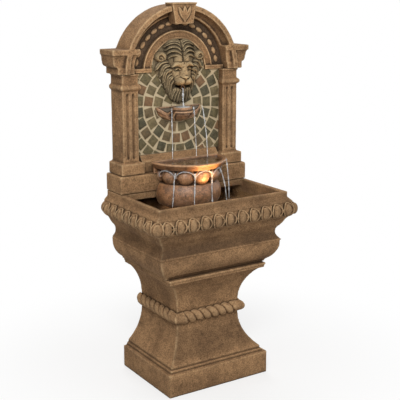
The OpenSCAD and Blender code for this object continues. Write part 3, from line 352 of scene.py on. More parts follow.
# Painted shade lies dark on the two small risers over the plinth, as in grooves, and thin above
# them.
risers, riser_h, cove_low, cove_high = (0.0795, 0.0895), 0.0085, 0.096, 0.28
for riser in risers:
    thicken_stain_and_shade(pedestal, riser, riser + riser_h, sharp=0.0012, front=0.85, side=0.80)
thicken_stain_and_shade(pedestal, cove_low, cove_high, sharp=0.02, front=0.42)
set_in_place(pedestal, "pedestal", brown_stone, ["pedestal"])

# The rope band is part of the same casting: thick strands that lean the same way all along,
# with a plain knob at each corner. The rings of its mesh go down the left side, across the
# front and back along the right side.


def tube_faces(rings, sides, first=0):
    """The faces of a tube whose points were laid down ring by ring, with closed ends."""
    faces = []
    for start in range(first, first + rings * sides, sides):
        for j in range(sides):
            here, after = start + j, start + (j + 1) % sides
            faces.append((here, after, after + sides, here + sides))
    faces.append(tuple(range(first + sides - 1, first - 1, -1)))
    faces.append(tuple(range(first + rings * sides, first + (rings + 1) * sides)))
    return faces


def turn_outward(piece):
    with whole_mesh(piece):
        bpy.ops.mesh.normals_make_consistent(inside=False)


def make_piece(name, places, faces):
    """A new piece from points and faces, with its faces turned outward."""
    mesh = bpy.data.meshes.new(name)
    mesh.from_pydata(places, [], faces)
    piece = put(name, mesh)
    turn_outward(piece)
    return piece


rope_low, rope_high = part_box("rope_band")
rope_r = (rope_high.z - rope_low.z) / 2
rope_z = (rope_high.z + rope_low.z) / 2
neck = rope_high.x - rope_r
run = rope_high.y - rope_low.y - rope_r
front_strands, strand_lean = 8, 0.95
pitch = 2 * neck / front_strands
knob = 0.021
rings, sides = 640, 27
places = []
for i in range(rings + 1):
    s = (2 * run + 2 * neck) * i / rings
    to_corner = min(abs(s - run), abs(s - run - 2 * neck))
    skew = max(0, 1 - to_corner / knob) ** 2
    if s <= run:
        base, out = (-neck, rope_high.y - s), (-1, -skew)
    elif s <= run + 2 * neck:
        x = s - run - neck
        base, out = (x, rope_high.y - run), (copysign(skew, x), -1)
    else:
        base, out = (neck, rope_high.y - 2 * run - 2 * neck + s), (1, -skew)
    for j in range(sides):
        turn = pi * (j / (sides - 1) - 0.5)
        strand = abs(sin(pi * (s - run) / pitch + strand_lean * turn))
        r = rope_r * (0.64 + 0.36 * strand ** 0.55)
        if to_corner < knob:
            r = rope_r * (0.84 + 0.15 * (to_corner / knob) ** 2)
        places.append((base[0] + out[0] * r * cos(turn),
                       base[1] + out[1] * r * cos(turn), rope_z + r * sin(turn)))
rope = make_piece("rope_moulding", places, tube_faces(rings, sides))
wear_down(rope, None, bump_size=0.01)
set_in_place(rope, "pedestal", brown_stone, ["rope_band"])

# The basin casting: ovolo, scotia and ogee below the rim, a tank inside, and a deck at the
# back that carries the panel. A sharp arris runs round the ovolo's top, on three sides.


def join_pieces(*pieces):
    """Makes pieces part of the first one."""
    pick(*pieces)
    bpy.ops.object.join()


basin = copy_node("basin_casting", "basin")
arris_z, scotia_top, arris_end = 0.494, 0.548, 0.190
arris_profile = ((-0.009, -0.010), (0.0032, 0.0), (0.0022, 0.0016), (-0.009, 0.006))
on_arris = [v.co for v in basin.data.vertices if abs(v.co.z - arris_z) < 0.0006]
arris_x, arris_y = max(co.x for co in on_arris), min(co.y for co in on_arris)
places, faces = [], []
for out, up in arris_profile:
    x, y, z = arris_x + out, arris_y - out, arris_z + up
    places += [(-x, arris_end, z), (-x, y, z), (x, y, z), (x, arris_end, z)]
for k in range(4):
    after = (k + 1) % 4
    faces += [(4 * k + j, 4 * k + j + 1, 4 * after + j + 1, 4 * after + j) for j in range(3)]
faces += [(0, 4, 8, 12), (15, 11, 7, 3)]
join_pieces(basin, make_piece("arris", places, faces))
wear_down(basin, 0.0027, 0.0011, less=0.42)
# Painted shade lies thick in the scotia, under the egg band, and thin on the front of the lip.
thicken_stain_and_shade(basin, arris_z + 0.001, scotia_top, sharp=0.003, front=0.78, side=0.42)
rim_z, lip_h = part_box("basin")[1].z, 0.045
thicken_stain_and_shade(basin, rim_z - lip_h, rim_z + 0.06, sharp=0.004, front=0.38)
set_in_place(basin, "basin", brown_stone, ["basin"])

# The egg moulding round the rim: one egg in each socket of the band, with a raised border
# round every socket, all cast together and rubbed pale on the crowns.


def shift(x, y, z):
    return Matrix.Translation((x, y, z))


def swing(turn, axis="Z"):
    return Matrix.Rotation(radians(turn), 4, axis)


egg_low, egg_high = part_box("eggs")
egg_z = (egg_low.z + egg_high.z) / 2
egg_pitch, egg_inset, first_on_side = 0.048, 0.023, 0.72
band_x, band_y = egg_high.x - egg_inset, egg_low.y + egg_inset
back_y = cad_box[1][1]
mitre = 0.003
spots = [(egg_pitch * i, band_y, 0) for i in range(-5, 6)]
for side in (-1, 1):
    spots.append((side * (band_x - mitre), band_y + mitre, side * 45))
    spots += [(side * band_x, band_y + egg_pitch * (first_on_side + i), side * 90)
              for i in range(7)]
socket_w, socket_h, band_r, border_r = 0.0205, 0.0232, 0.025, 0.0025
places, faces = [], []
around, sides = 48, 10
for x, y, turn in spots:
    set_back = 0.0125 if abs(turn) == 45 else 0.0068
    first = len(places)
    for k in range(around):
        a = 2 * pi * k / around
        up = socket_h * sin(a)
        out = sqrt(band_r ** 2 - up ** 2) - set_back
        normal = Vector((socket_h * cos(a), 0, socket_w * sin(a))).normalized()
        here, after = first + k * sides, first + (k + 1) % around * sides
        for j in range(sides):
            b = 2 * pi * j / sides
            at = Vector((socket_w * cos(a), -out, up)) + border_r * (
                cos(b) * normal + sin(b) * Vector((0, -1, 0)))
            places.append(shift(x, y, egg_z) @ swing(turn) @ at)
            beside = (j + 1) % sides
            faces.append((here + j, after + j, after + beside, here + beside))
parts = [make_piece("egg_moulding", places, faces)]
egg_size, egg_out = (0.0172, 0.0145, 0.0200, 1), 0.008
for x, y, turn in spots:
    bpy.ops.mesh.primitive_uv_sphere_add(segments=20, ring_count=14, radius=1)
    egg = bpy.context.object
    egg.data.transform(shift(x, y, egg_z) @ swing(turn) @ shift(0, -egg_out, 0)
                       @ Matrix.Diagonal(egg_size))
    parts.append(egg)
# the ground of the sockets lies deeper than the eggs and their borders
sockets = copy_node("egg_band", "egg_band")
sockets.data.transform(shift(0, back_y, egg_z) @ Matrix.Diagonal((0.978, 0.984, 0.93, 1))
                       @ shift(0, -back_y, -egg_z))
join_pieces(*parts, sockets, copy_node("eggs", "eggs"))
eggs = parts[0]
wear_down(eggs, 0.0019, 0.0007, bump_size=0.01)
# painted shade, thin on the front of the egg band, as on the front of the lip
thicken_stain_and_shade(eggs, egg_low.z - 0.01, egg_high.z + 0.06, sharp=0.01, front=0.30)
set_in_place(eggs, "basin", brown_stone, ["egg_band", "eggs"])

# The panel is built up from castings that are bonded together: the base block that stands
# on the deck, the two fluted piers on it, and the sill between their feet.


def cast_for_panel(name, cad, grain, unevenness=0.0009, rounding=1, less=1.0):
    """A worn casting of the panel, from the CAD node that it stands for."""
    piece = copy_node(name, cad)
    wear_down(piece, grain, unevenness, rounding, less=less)
    set_in_place(piece, "panel", brown_stone, [cad])


cast_for_panel("base_block", "panel_base", 0.003, less=0.6)
cast_for_panel("left_pier_casting", "left_pier", 0.0021, less=0.8)
cast_for_panel("right_pier_casting", "right_pier", 0.0021, less=0.8)
cast_for_panel("sill_casting", "sill", 0.0022, less=0.8)

# The arch with its cornice returns, the plain ring inside it, and the row of beads that
# was pressed into the hollow between the two.
cast_for_panel("arch_casting", "arch_cornice", 0.0024, less=0.75)
cast_for_panel("ring_casting", "inner_arch", 0.0018)
cast_for_panel("bead_row", "bead_course", 0.0013, rounding=2)

# The keystone: a wedge with a small cap, three leaves in relief on its face and a tail
# that hangs in front of the beads.
cast_for_panel("keystone_casting", "keystone", 0.0013, unevenness=0.0007)

# The wall slab behind the mosaic is the same stone, left unwashed, so it is darker. Its
# solid stays as it is.


def finish_nodes(material, *cad_nodes):
    """Gives CAD nodes that stay in the scene their finish."""
    for cad in cad_nodes:
        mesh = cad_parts[cad].data
        mesh.materials.clear()
        mesh.materials.append(material)


finish_nodes(stone_finish("bare_stone", pale=(0.11, 0.07, 0.042, 1),
                          middle=(0.07, 0.045, 0.028, 1), dark=(0.03, 0.02, 0.013, 1),
                          worn=(0.2, 0.14, 0.09, 1)), "wall_slab")

# The rear board and its access door: brown fibre board with a sawn face, behind the hose.
board = new_finish("fibre_board")
drawn = board.add("Mapping", {"Vector": board.place, "Scale": (1, 1, 0.06)})
fibres = board.noise(240, 6, 0.7, drawn)
colour = board.mix(fibres, (0.075, 0.048, 0.03, 1), (0.17, 0.115, 0.07, 1))
flecks = board.fit(board.noise(60, 3), 0.5, 0.75, 0.0, 0.4)
colour = board.mix(flecks, colour, (0.045, 0.03, 0.02, 1))
board.cover(colour, 0.8, {"Normal": board.bump(fibres, 0.3, 0.0004)})
finish_nodes(board.owner, "rear_board", "access_door")

# The grout bed: sand and cement, trowelled level with a pale film over the grains.
grout = new_finish("sandy_grout")
colour = grout.mix(grout.noise(22, 5, 0.6), (0.62, 0.50, 0.32, 1), (0.38, 0.30, 0.185, 1))
grains = grout.noise(700, 3, 0.8)
colour = grout.mix(grout.fit(grains, 0.55, 0.8, 0.0, 0.5), colour, (0.2, 0.15, 0.1, 1))
grout.cover(colour, 0.9, {"Normal": grout.bump(grains, 0.6, 0.0008)})
finish_nodes(grout.owner, "grout_bed")

# The mosaic: tumbled tiles of slate and clay, each laid by hand into the grout, so no two
# are quite the same size, straight or level. Their edges are chipped round.
tiles = copy_node("laid_tiles", "mosaic_tiles")
merge_points(tiles)
mesh = tiles.data
owner = np.arange(len(mesh.vertices))
ends = read_edges(mesh)
# the points of one tile all end up with its lowest point number
while True:
    lower = np.minimum(owner[ends[:, 0]], owner[ends[:, 1]])
    spread = owner.copy()
    np.minimum.at(spread, ends[:, 0], lower)
    np.minimum.at(spread, ends[:, 1], lower)
    if (spread == owner).all():
        break
    owner = spread
place = read_points(mesh)
tone = np.zeros(len(owner))
tile_drop = 0.0012
random.seed(5)
for tile in np.unique(owner):
    own = owner == tile
    middle = place[own].mean(axis=0)
    middle[1] = place[own][:, 1].max()
    shrink_x, shrink_z = random.uniform(0.92, 1.0), random.uniform(0.92, 1.0)
    turn = random.uniform(-0.05, 0.05)
    lean_x, lean_z = random.uniform(-0.02, 0.05), random.uniform(-0.02, 0.05)
    away = place[own] - middle
    x, z = away[:, 0] * shrink_x, away[:, 2] * shrink_z
    away[:, 0] = x * cos(turn) - z * sin(turn)
    away[:, 2] = x * sin(turn) + z * cos(turn)
    face = away[:, 1] < -0.001
    away[face, 1] += tile_drop + lean_x * np.abs(away[face, 0]) + lean_z * np.abs(away[face, 2])
    place[own] = middle + away
    tone[own] = random.random()
mesh.vertices.foreach_set("co", place.reshape(-1))
write_layer(mesh, "tone", tone)
mesh.update()
modify(tiles, "BEVEL", width=0.0013, segments=2, angle_limit=radians(50))
bpy.ops.object.shade_smooth_by_angle(angle=radians(35))

clay = new_finish("tumbled_tile")
ramp = clay.add("ValToRGB", {"Fac": clay.layer("tone")})
ramp.color_ramp.interpolation = "CONSTANT"
tile_colours = ((0.0, (0.090, 0.071, 0.032, 1)), (0.18, (0.117, 0.090, 0.042, 1)),
                (0.38, (0.063, 0.054, 0.028, 1)), (0.55, (0.139, 0.104, 0.049, 1)),
                (0.7, (0.108, 0.073, 0.034, 1)), (0.83, (0.150, 0.080, 0.036, 1)),
                (0.93, (0.170, 0.105, 0.049, 1)))
for position, shade in tile_colours[2:]:
    ramp.color_ramp.elements.new(position)
for element, (position, shade) in zip(ramp.color_ramp.elements, tile_colours):
    element.position = position
    element.color = shade
cloudy = clay.noise(70, 6, 0.65)
light = clay.fit(cloudy, 0.3, 0.7, 0.5, 1.6)
colour = clay.add("VectorMath", {0: ramp, 1: light}, operation="MULTIPLY")
dust = clay.fit(clay.noise(260, 4, 0.7), 0.5, 0.75, 0.0, 0.45)
colour = clay.mix(dust, colour, (0.27, 0.225, 0.135, 1))
clay.cover(colour, 0.62, {"Specular IOR Level": 0.35,
                          "Normal": clay.bump(cloudy, 0.7, 0.0015)})
set_in_place(tiles, "panel", clay.owner, ["mosaic_tiles"])

# The lion mask: one casting in high relief, bonded to the grout. Its mane is built up from
# long locks of two strands each, swept back from a smooth face, with a beard below the
# mouth.
mask_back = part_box("lion_mask")[1][1]
mask_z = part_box("inner_arch")[0][2]
spout_v, throat_r, throat_floor = -54, 9.5, 14
nowhere = -9.0


def inside_oval(u, v, middle_u, middle_v, half_w, half_h):
    """1 in the middle of an oval, down to 0 at its edge."""
    return 1 - ((u - middle_u) / half_w) ** 2 - ((v - middle_v) / half_h) ** 2


def dome(u, v, base, rise, oval, power=0.5):
    """A swelling over an oval, from the height of its edge up."""
    left = inside_oval(u, v, *oval)
    return np.where(left > 0, base + rise * np.maximum(left, 0) ** power, nowhere)


def lock(u, v, path, widths, heights, strands=1, depth=0.0):
    """A strand of hair along a curve of four points, wide at its root and thin at its tip."""
    t = np.linspace(0, 1, 24)[:, None]
    p = [np.array(point, float) for point in path]
    curve = ((1 - t) ** 3 * p[0] + 3 * (1 - t) ** 2 * t * p[1]
             + 3 * (1 - t) * t * t * p[2] + t ** 3 * p[3])
    near = np.full(u.shape, 1e9)
    along, side = np.zeros(u.shape), np.zeros(u.shape)
    parts = len(curve) - 1
    for i in range(parts):
        step = curve[i + 1] - curve[i]
        du, dv = u - curve[i][0], v - curve[i][1]
        s = np.clip((du * step[0] + dv * step[1]) / (step ** 2).sum(), 0, 1)
        x, y = du - s * step[0], dv - s * step[1]
        away = np.hypot(x, y)
        closer = away < near
        near = np.where(closer, away, near)
        along = np.where(closer, (i + s) / parts, along)
        side = np.where(closer, np.sign(step[0] * y - step[1] * x) * away, side)
    width = widths[0] + (widths[1] - widths[0]) * along
    width = width * np.clip(1 - np.maximum(0, along - 0.75) * 3.2, 0.2, 1)
    width = width * np.clip(0.55 + along * 4, 0, 1)
    r = near / width
    crown = heights[0] + (heights[1] - heights[0]) * along
    thickness = 12
    swell = thickness * np.sqrt(np.maximum(0, 1 - r * r))
    hairs = depth * np.cos(side / width * pi * strands) * np.where(r < 1, 1 - r, 0)
    return np.where(r < 1, crown - thickness + swell + hairs, nowhere)


def joined(parts, soft):
    """The highest of several forms, with the creases between them filled a little."""
    stack = np.stack(parts)
    top = stack.max(0)
    return top + np.log(np.exp((stack - top) * soft).sum(0)) / soft


# Each swelling has the height of its edge, its rise, its oval and how full it is. Those of
# the mane are the hair round the head, beside the beard and on the crown, the chin's hair,
# the cheeks and the forehead.
mane_swellings = ((2, 11, (0, 28, 97, 76), 0.6), (2, 16, (0, -28, 60, 78), 0.6),
                  (4, 25, (0, 42, 66, 54), 0.6), (12, 12, (0, -76, 24, 30)),
                  (10, 30, (0, 6, 44, 56)), (18, 25, (14, 40, 19, 27), 0.6))
# The face's are its middle, the muzzle, the pads of the lip and the tip of the nose.
face_swellings = ((16, 25, (0, -10, 45, 38), 0.7), (26, 28, (0, -27, 34, 22)),
                  (30, 30, (14, -31, 18, 16)), (44, 18, (0, -18, 15, 9)))
# Each lock has its path, its widths and its heights, from root to tip. The first five lie
# on the crown and the others beside the face.
mane_locks = (
    (((4, 94), (14, 106), (40, 104), (56, 90)), (9, 5), (24, 14)),
    (((4, 82), (12, 99), (38, 100), (62, 82)), (8, 5), (30, 16)),
    (((6, 70), (16, 86), (36, 89), (58, 71)), (8, 5), (35, 20)),
    (((7, 57), (18, 72), (40, 75), (57, 58)), (8, 5), (39, 24)),
    (((8, 44), (18, 57), (36, 60), (54, 44)), (8, 5), (42, 27)),
    (((52, 33), (84, 36), (80, 14), (97, 6)), (10, 7), (25, 12)),
    (((50, 20), (80, 18), (62, -4), (79, -18)), (11, 5), (31, 13)),
    (((46, 6), (74, 0), (54, -24), (68, -39)), (11, 5), (36, 14)),
    (((44, -7), (68, -18), (50, -39), (59, -57)), (10, 5), (33, 14)),
    (((42, -19), (60, -34), (42, -55), (50, -74)), (10, 5), (38, 14)),
    (((36, -31), (52, -48), (34, -71), (38, -92)), (10, 5), (34, 15)))
# A lock of the beard has the u of its root and its tip, the v of its tip, and its height.
beard_locks = ((0, 2, -113, 40), (9, 11, -110, 36), (18, 22, -106, 39), (27, 31, -98, 34))
brow = (((7, 20), (14, 28), (29, 31), (42, 16)), (10, 7), (50, 40))
eyelids = ((((11, 5), (17, 12.5), (26, 13), (33, 5)), (3.4, 2.8), (43, 39)),
           (((12, 4), (18, 0), (25, 0), (31, 6)), (2.2, 2.0), (38, 35)))
ear_folds = ((((63, 44), (68, 66), (90, 64), (90, 44)), (4.0, 2.6), (30, 23)),
             (((70, 42), (73, 54), (82, 54), (83, 44)), (2.4, 1.8), (25, 21)))


def lion_relief(u, v):
    """The mask's height off the grout, u to the right of its middle and v up from it, all in
    millimetres. Both halves of the mask are alike."""
    a = np.abs(u)

    def hollow(h, depth, oval, power):
        return h - depth * np.maximum(inside_oval(a, v, *oval), 0) ** power

    def groove(h, depth, half_w, where):
        return h - depth * np.exp(-(a / half_w) ** 2) * where

    mane = [dome(a, v, *form) for form in mane_swellings]
    mane += [lock(a, v, *form, 2, 2.0) for form in mane_locks]
    for root, tip, tip_v, crown in beard_locks:
        path = ((root, -58), (root * 1.2, -74), (tip * 1.2, -90), (tip, tip_v))
        mane.append(lock(a, v, path, (8.0, 4.2), (crown, 16), 2, 1.3))
    # the bridge of the nose widens and rises from the forehead down to its tip
    bridge = a / (13 + np.clip(20 - v, 0, 40) * 0.10)
    rise = np.clip((46 - v) / 14, 0, 1) * np.clip((v + 26) / 7, 0, 1)
    top = 60 - 13 * np.clip((v + 18) / 52, 0, 1)
    nose = np.where((bridge < 1) & (rise > 0), top * rise - 14 * bridge ** 3 - 30 * (1 - rise),
                    nowhere)
    face = [joined(mane, 1.6), nose, lock(a, v, *brow)]
    face += [dome(a, v, *form) for form in face_swellings]
    h = joined(face, 0.9)
    lower_lip = dome(a, v, 25, 9, (0, -65, 16, 7.5))
    h = np.maximum(h, lower_lip)
    # the eye: a socket with the ball, the lids and the pupil in it
    h = hollow(h, 15, (21, 8, 13, 8), 0.7)
    h = np.maximum(h, dome(a, v, 28, 7, (21, 8, 8, 5)))
    for lid in eyelids:
        h = np.maximum(h, lock(a, v, *lid))
    h = hollow(h, 4.0, (20, 8.5, 3.2, 3.2), 0.5)
    # the open mouth, the nostrils, the crease below the nose and the parting of the mane
    h = hollow(h, 28, (0, -52, 21, 9.5), 0.8)
    h = hollow(h, 7, (7.5, -22.5, 4.2, 3.0), 0.6)
    h = groove(h, 5, 1.8, (v < -26) & (v > -46))
    h = groove(h, 6, 2.2, np.clip((v - 22) / 8, 0, 1) * np.clip((100 - v) / 20, 0, 1))
    # the ear, hollow between its folds
    h = np.maximum(h, dome(a, v, 10, 21, (75, 52, 23, 18), 0.55))
    h = hollow(h, 11, (76, 50, 14, 11), 0.7)
    for fold in ear_folds:
        h = np.maximum(h, lock(a, v, *fold))
    throat = np.hypot(u, v - spout_v) < throat_r
    return np.where(throat, np.minimum(h, throat_floor), h)


# The mask is laid out on rings and spokes, out to where the relief meets the grout.
spokes, rings = 540, 120
angle = np.arange(spokes) * 2 * pi / spokes
reach = np.arange(30, 115, 0.5)
raised = lion_relief(np.outer(np.cos(angle), reach), np.outer(np.sin(angle), reach)) > 2.0
edge = reach[raised.shape[1] - 1 - raised[:, ::-1].argmax(axis=1)]
share = (np.arange(rings + 1) / rings) ** 0.9
u, v = np.outer(share, edge * np.cos(angle)), np.outer(share, edge * np.sin(angle))
h = np.maximum(lion_relief(u, v), 0.5)


def on_panel(u, v, h):
    return u / 1000, mask_back - h / 1000, mask_z + v / 1000


places = [on_panel(0.0, 0.0, h[0, 0])]
for ring in range(1, rings + 1):
    places += [on_panel(u[ring, k], v[ring, k], h[ring, k]) for k in range(spokes)]
places += [on_panel(u[-1, k], v[-1, k], 0.0) for k in range(spokes)]
places.append(on_panel(0.0, 0.0, 0.0))
faces = []
for k in range(spokes):
    after = (k + 1) % spokes
    faces.append((0, 1 + after, 1 + k))
    for inner in range(1, 1 + rings * spokes, spokes):
        outer = inner + spokes
        faces.append((inner + k, inner + after, outer + after, outer + k))
    faces.append((outer + k, outer + after, len(places) - 1))
lion = make_piece("lion_head", places, faces)
bpy.ops.object.shade_smooth()
mark_wear(lion.data)
# The face and the ears are paler than the mane: the stain is thinner there, and they carry a
# painted highlight.
flat_u, flat_v = np.abs(u[1:]).reshape(-1), v[1:].reshape(-1)
on_face = np.clip(1.6 - np.hypot(flat_u / 35, (flat_v - 6) / 42), 0, 1)
on_face *= np.clip((flat_v + 52) / 8, 0, 1)
on_ear = np.clip(1.6 - np.hypot((flat_u - 76) / 14, (flat_v - 52) / 12), 0, 1)
thin_stain_and_highlight = np.concatenate([[1.0], np.maximum(on_face, 0.8 * on_ear), np.zeros(spokes + 1)])
write_layer(lion.data, "crown", thin_stain_and_highlight)
lion_stone = stone_finish("lion_stone", pale=(0.195, 0.147, 0.086, 1),
                          middle=(0.115, 0.087, 0.052, 1), dark=(0.046, 0.034, 0.021, 1),
                          worn=(0.52, 0.40, 0.23, 1), grit=0.7, crown=(0.375, 0.255, 0.135, 1))
set_in_place(lion, "panel", lion_stone, ["lion_mask"])

# The mouth spout is a short copper tube in the lion's mouth, dulled brown by the water.
copper = new_finish("dulled_copper")
cloudy = copper.noise(180, 5, 0.6)
colour = copper.mix(cloudy, (0.32, 0.15, 0.07, 1), (0.10, 0.075, 0.045, 1))
copper.cover(colour, 0.42, {"Metallic": 0.8, "Normal": copper.bump(cloudy, 0.2, 0.0003)})
finish_nodes(copper.owner, "mouth_spout")

# The two bowls and the drum have a copper-brown wash, and are wet all over, so their
# highlights are tighter than those of the dry stone.
wet_stone = stone_finish("wet_stone", pale=(0.40, 0.19, 0.083, 1),
                         middle=(0.20, 0.095, 0.046, 1), dark=(0.05, 0.029, 0.018, 1),
                         worn=(0.58, 0.36, 0.20, 1), gloss=0.34, patch=16, stains=0.8)

# The upper bowl has three lobes. A round border is cast along the rim of the front lobe
# and down its two creases.
bowl = copy_node("upper_bowl_casting", "upper_bowl")
cup_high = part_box("upper_bowl")[1]
cup_back, cup_top = cup_high[1], cup_high[2]
front_r, front_out = 0.0377, 0.0243
border_drop, crease_fall, crease_from, border_half = 0.0165, 0.030, 66, 104
line = []
for k in range(41):
    angle = radians(-border_half + 2 * border_half * k / 40)
    past = (abs(angle) - radians(crease_from)) / radians(border_half - crease_from)
    fall = crease_fall * max(0, past) ** 0.8
    reach = front_r * (1 - 0.30 * (fall / crease_fall) ** 2)
    line.append((reach * sin(angle), cup_back - front_out - reach * cos(angle),
                 cup_top - border_drop - fall))
curve = bpy.data.curves.new("border", "CURVE")
curve.dimensions = "3D"
curve.bevel_depth = 0.0036
curve.bevel_resolution = 3
curve.use_fill_caps = True
spline = curve.splines.new("POLY")
spline.points.add(len(line) - 1)
for point, at in zip(spline.points, line):
    point.co = (*at, 1)
border = put("border", curve)
pick(border)
bpy.ops.object.convert(target="MESH")
join_pieces(bowl, border)
wear_down(bowl, 0.0014, rounding=2)
set_in_place(bowl, "panel", wet_stone, ["upper_bowl"])

# The drum: a hollow casting that carries the lower bowl. It stands in the basin's water on
# its skirt, over the pump.
drum = copy_node("drum_casting", "drum")
wear_down(drum, 0.0026, less=0.8)
set_in_place(drum, "panel", wet_stone, ["drum"])

# The lower bowl: a shallow dish on a ring of lobes. A rounded rib is cast over each lobe,
# and where two ribs meet there is a hole that the water runs out of.
bowl = copy_node("lower_bowl_casting", "lower_bowl")
bowl_low, bowl_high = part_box("lower_bowl")
lip_r, lobe_drop, lobe_step, lobe_out, rib_deep = 0.141, 0.050, 33, 0.102, 3.4
axis_y, lobe_z = bowl_low[1] + lip_r, bowl_high[2] - lobe_drop
lobes = [shift(0, axis_y, 0) @ swing(lobe_step * k) for k in range(-2, 3)]
parts = [bowl]
for lobe in lobes:
    bpy.ops.mesh.primitive_torus_add(major_segments=64, minor_segments=14, major_radius=0.0315,
                                     minor_radius=0.0036)
    rib = bpy.context.object
    with whole_mesh(rib):
        bpy.ops.mesh.bisect(plane_co=(0, -0.004, 0), plane_no=(0, 1, 0), clear_inner=True,
                            use_fill=True)
    rib.data.transform(lobe @ shift(0, -lobe_out, lobe_z) @ swing(90, "X")
                       @ Matrix.Diagonal((1, 1, rib_deep, 1)))
    parts.append(rib)
join_pieces(*parts)
wear_down(bowl, 0.0019, 0.0008)
set_in_place(bowl, "panel", wet_stone, ["lower_bowl"])

# The riser hose is clear vinyl, clouded by use, and runs from the pump up behind the slab.
vinyl = new_finish("clear_vinyl")
haze = vinyl.noise(40, 4)
vinyl.cover(vinyl.mix(haze, (0.80, 0.85, 0.80, 1), (0.62, 0.68, 0.60, 1)),
            vinyl.fit(haze, 0, 1, 0.14, 0.36), {"Transmission Weight": 0.6, "IOR": 1.45})
finish_nodes(vinyl.owner, "riser_hose")

# The pump, the elbow, the clips and the lamp's housing are moulded in black plastic, with
# the fine grain of the mould and a film of lime where water has dried.


def moulded_finish(name, body_colour, worn_colour, roughness, grain=900, lime=0.25):
    moulded = new_finish(name)
    cloudy = moulded.noise(55, 5, 0.6)
    film = moulded.fit(cloudy, 0.5, 0.8, 0.0, lime)
    return moulded.cover(moulded.mix(film, body_colour, worn_colour),
                         moulded.fit(cloudy, 0, 1, roughness - 0.08, roughness + 0.12),
                         {"Normal": moulded.bump(moulded.cells(grain), 0.25, 0.0002)})


black_plastic = moulded_finish("black_plastic", (0.022, 0.023, 0.026, 1),
                               (0.16, 0.15, 0.13, 1), 0.42)
finish_nodes(black_plastic, "pump_body", "strainer", "spout_elbow", "hose_clips", "lamp_base",
             "lamp_body")

# The volute and the flow shutter are a harder grey plastic, and the impeller is white
# nylon round its magnet.
grey_plastic = moulded_finish("grey_plastic", (0.13, 0.14, 0.145, 1),
                              (0.34, 0.32, 0.28, 1), 0.36)
finish_nodes(grey_plastic, "volute", "flow_shutter")
white_nylon = moulded_finish("white_nylon", (0.72, 0.70, 0.64, 1), (0.5, 0.44, 0.33, 1), 0.3,
                             grain=600)
finish_nodes(white_nylon, "impeller")

# The impeller's shaft is ground ceramic rod: white, hard and nearly smooth.
ceramic = new_finish("ground_ceramic")
lines = ceramic.add("TexWave", {"Vector": ceramic.place, "Scale": 900, "Distortion": 1.5,
                                "Detail": 2}, bands_direction="Y").outputs["Fac"]
ceramic.cover(ceramic.mix(lines, (0.80, 0.79, 0.75, 1), (0.70, 0.69, 0.65, 1)), 0.18,
              {"Normal": ceramic.bump(lines, 0.08, 0.0001)})
finish_nodes(ceramic.owner, "impeller_shaft")

# The drain plug, the cord grommet and the suction feet are soft black rubber with a bloom.
rubber = moulded_finish("black_rubber", (0.03, 0.03, 0.031, 1), (0.13, 0.125, 0.12, 1), 0.68,
                        grain=1500, lime=0.5)
finish_nodes(rubber, "drain_plug", "cord_grommet", "suction_feet")

# The lamp stands under water at the front right and shines up at the bowl. Its lens is
# frosted and lit from behind by a warm white diode.
lens = new_finish("lit_lens")
frost = lens.fit(lens.cells(500), 0, 1, 0.7, 1.0)
colour = lens.mix(frost, (1.0, 0.58, 0.25, 1), (1.0, 0.80, 0.5, 1))
lens.cover(colour, 0.35, {"Emission Color": colour, "Emission Strength": 3.0})
finish_nodes(lens.owner, "lamp_lens")
lamp_low, lamp_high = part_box("lamp_lens")
diode = put("diode", bpy.data.lights.new("diode", "SPOT"))
diode.data.energy = 4.4
diode.data.color = (1.0, 0.58, 0.24)
diode.data.spot_size = radians(56)
diode.data.spot_blend = 1.0
diode.data.shadow_soft_size = 0.01
# The light stands where the lamp's beam leaves the water, so that it passes the drum and
# falls on the bowl's front lobes and the underside of its lip. It stays with the lamp's
# base, because a tilt would swing it into the drum.
out_of_water, thrown = Vector((-0.066, -0.067, 0.103)), Vector((-0.02, 0.66, 0.75))
diode.location = (Vector(lamp_low) + Vector(lamp_high)) / 2 + out_of_water
diode.rotation_euler = thrown.to_track_quat("-Z", "Y").to_euler()
diode.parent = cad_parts["lamp_base"]

# The water: a pool in the basin, one in each bowl, and the streams between them. Each
# stream leaves level and falls to the water below.
falling = new_finish("falling_water")
froth = falling.noise(120, 4)
falling.cover(falling.mix(froth, (0.85, 0.88, 0.90, 1), (1, 1, 1, 1)), 0.12,
              {"IOR": 1.33, "Transmission Weight": 0.55,
               "Alpha": falling.fit(froth, 0.35, 0.7, 0.45, 1.0)})


def set_water(piece, body, material):
    """Gives the picked piece of water its finish and its body."""
    bpy.ops.object.shade_smooth()
    piece.data.materials.append(material)
    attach(piece, body)


pool_z, bowl_water_z, cup_water_z = 0.620, bowl_high[2] - 0.008, cup_top - 0.004
lion_fall_r, cup_fall_r, bowl_fall_r = 0.0031, 0.0020, 0.0023
spout_low, spout_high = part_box("mouth_spout")
spout_end = Vector((0, spout_low[1] + 0.001, (spout_low[2] + spout_high[2]) / 2 - 0.003))
upper_foot = Vector((0, 0.1035, cup_water_z))
falls = [(spout_end, upper_foot, lion_fall_r)]
# three leave the upper bowl, each from one x and y to another
for top, foot in (((-0.037, 0.1205), (-0.041, 0.1105)), ((0.050, 0.1175), (0.053, 0.1045)),
                  ((0.091, 0.1275), (0.086, 0.0805))):
    falls.append((Vector((*top, cup_water_z - 0.001)), Vector((*foot, bowl_water_z)),
                  cup_fall_r))
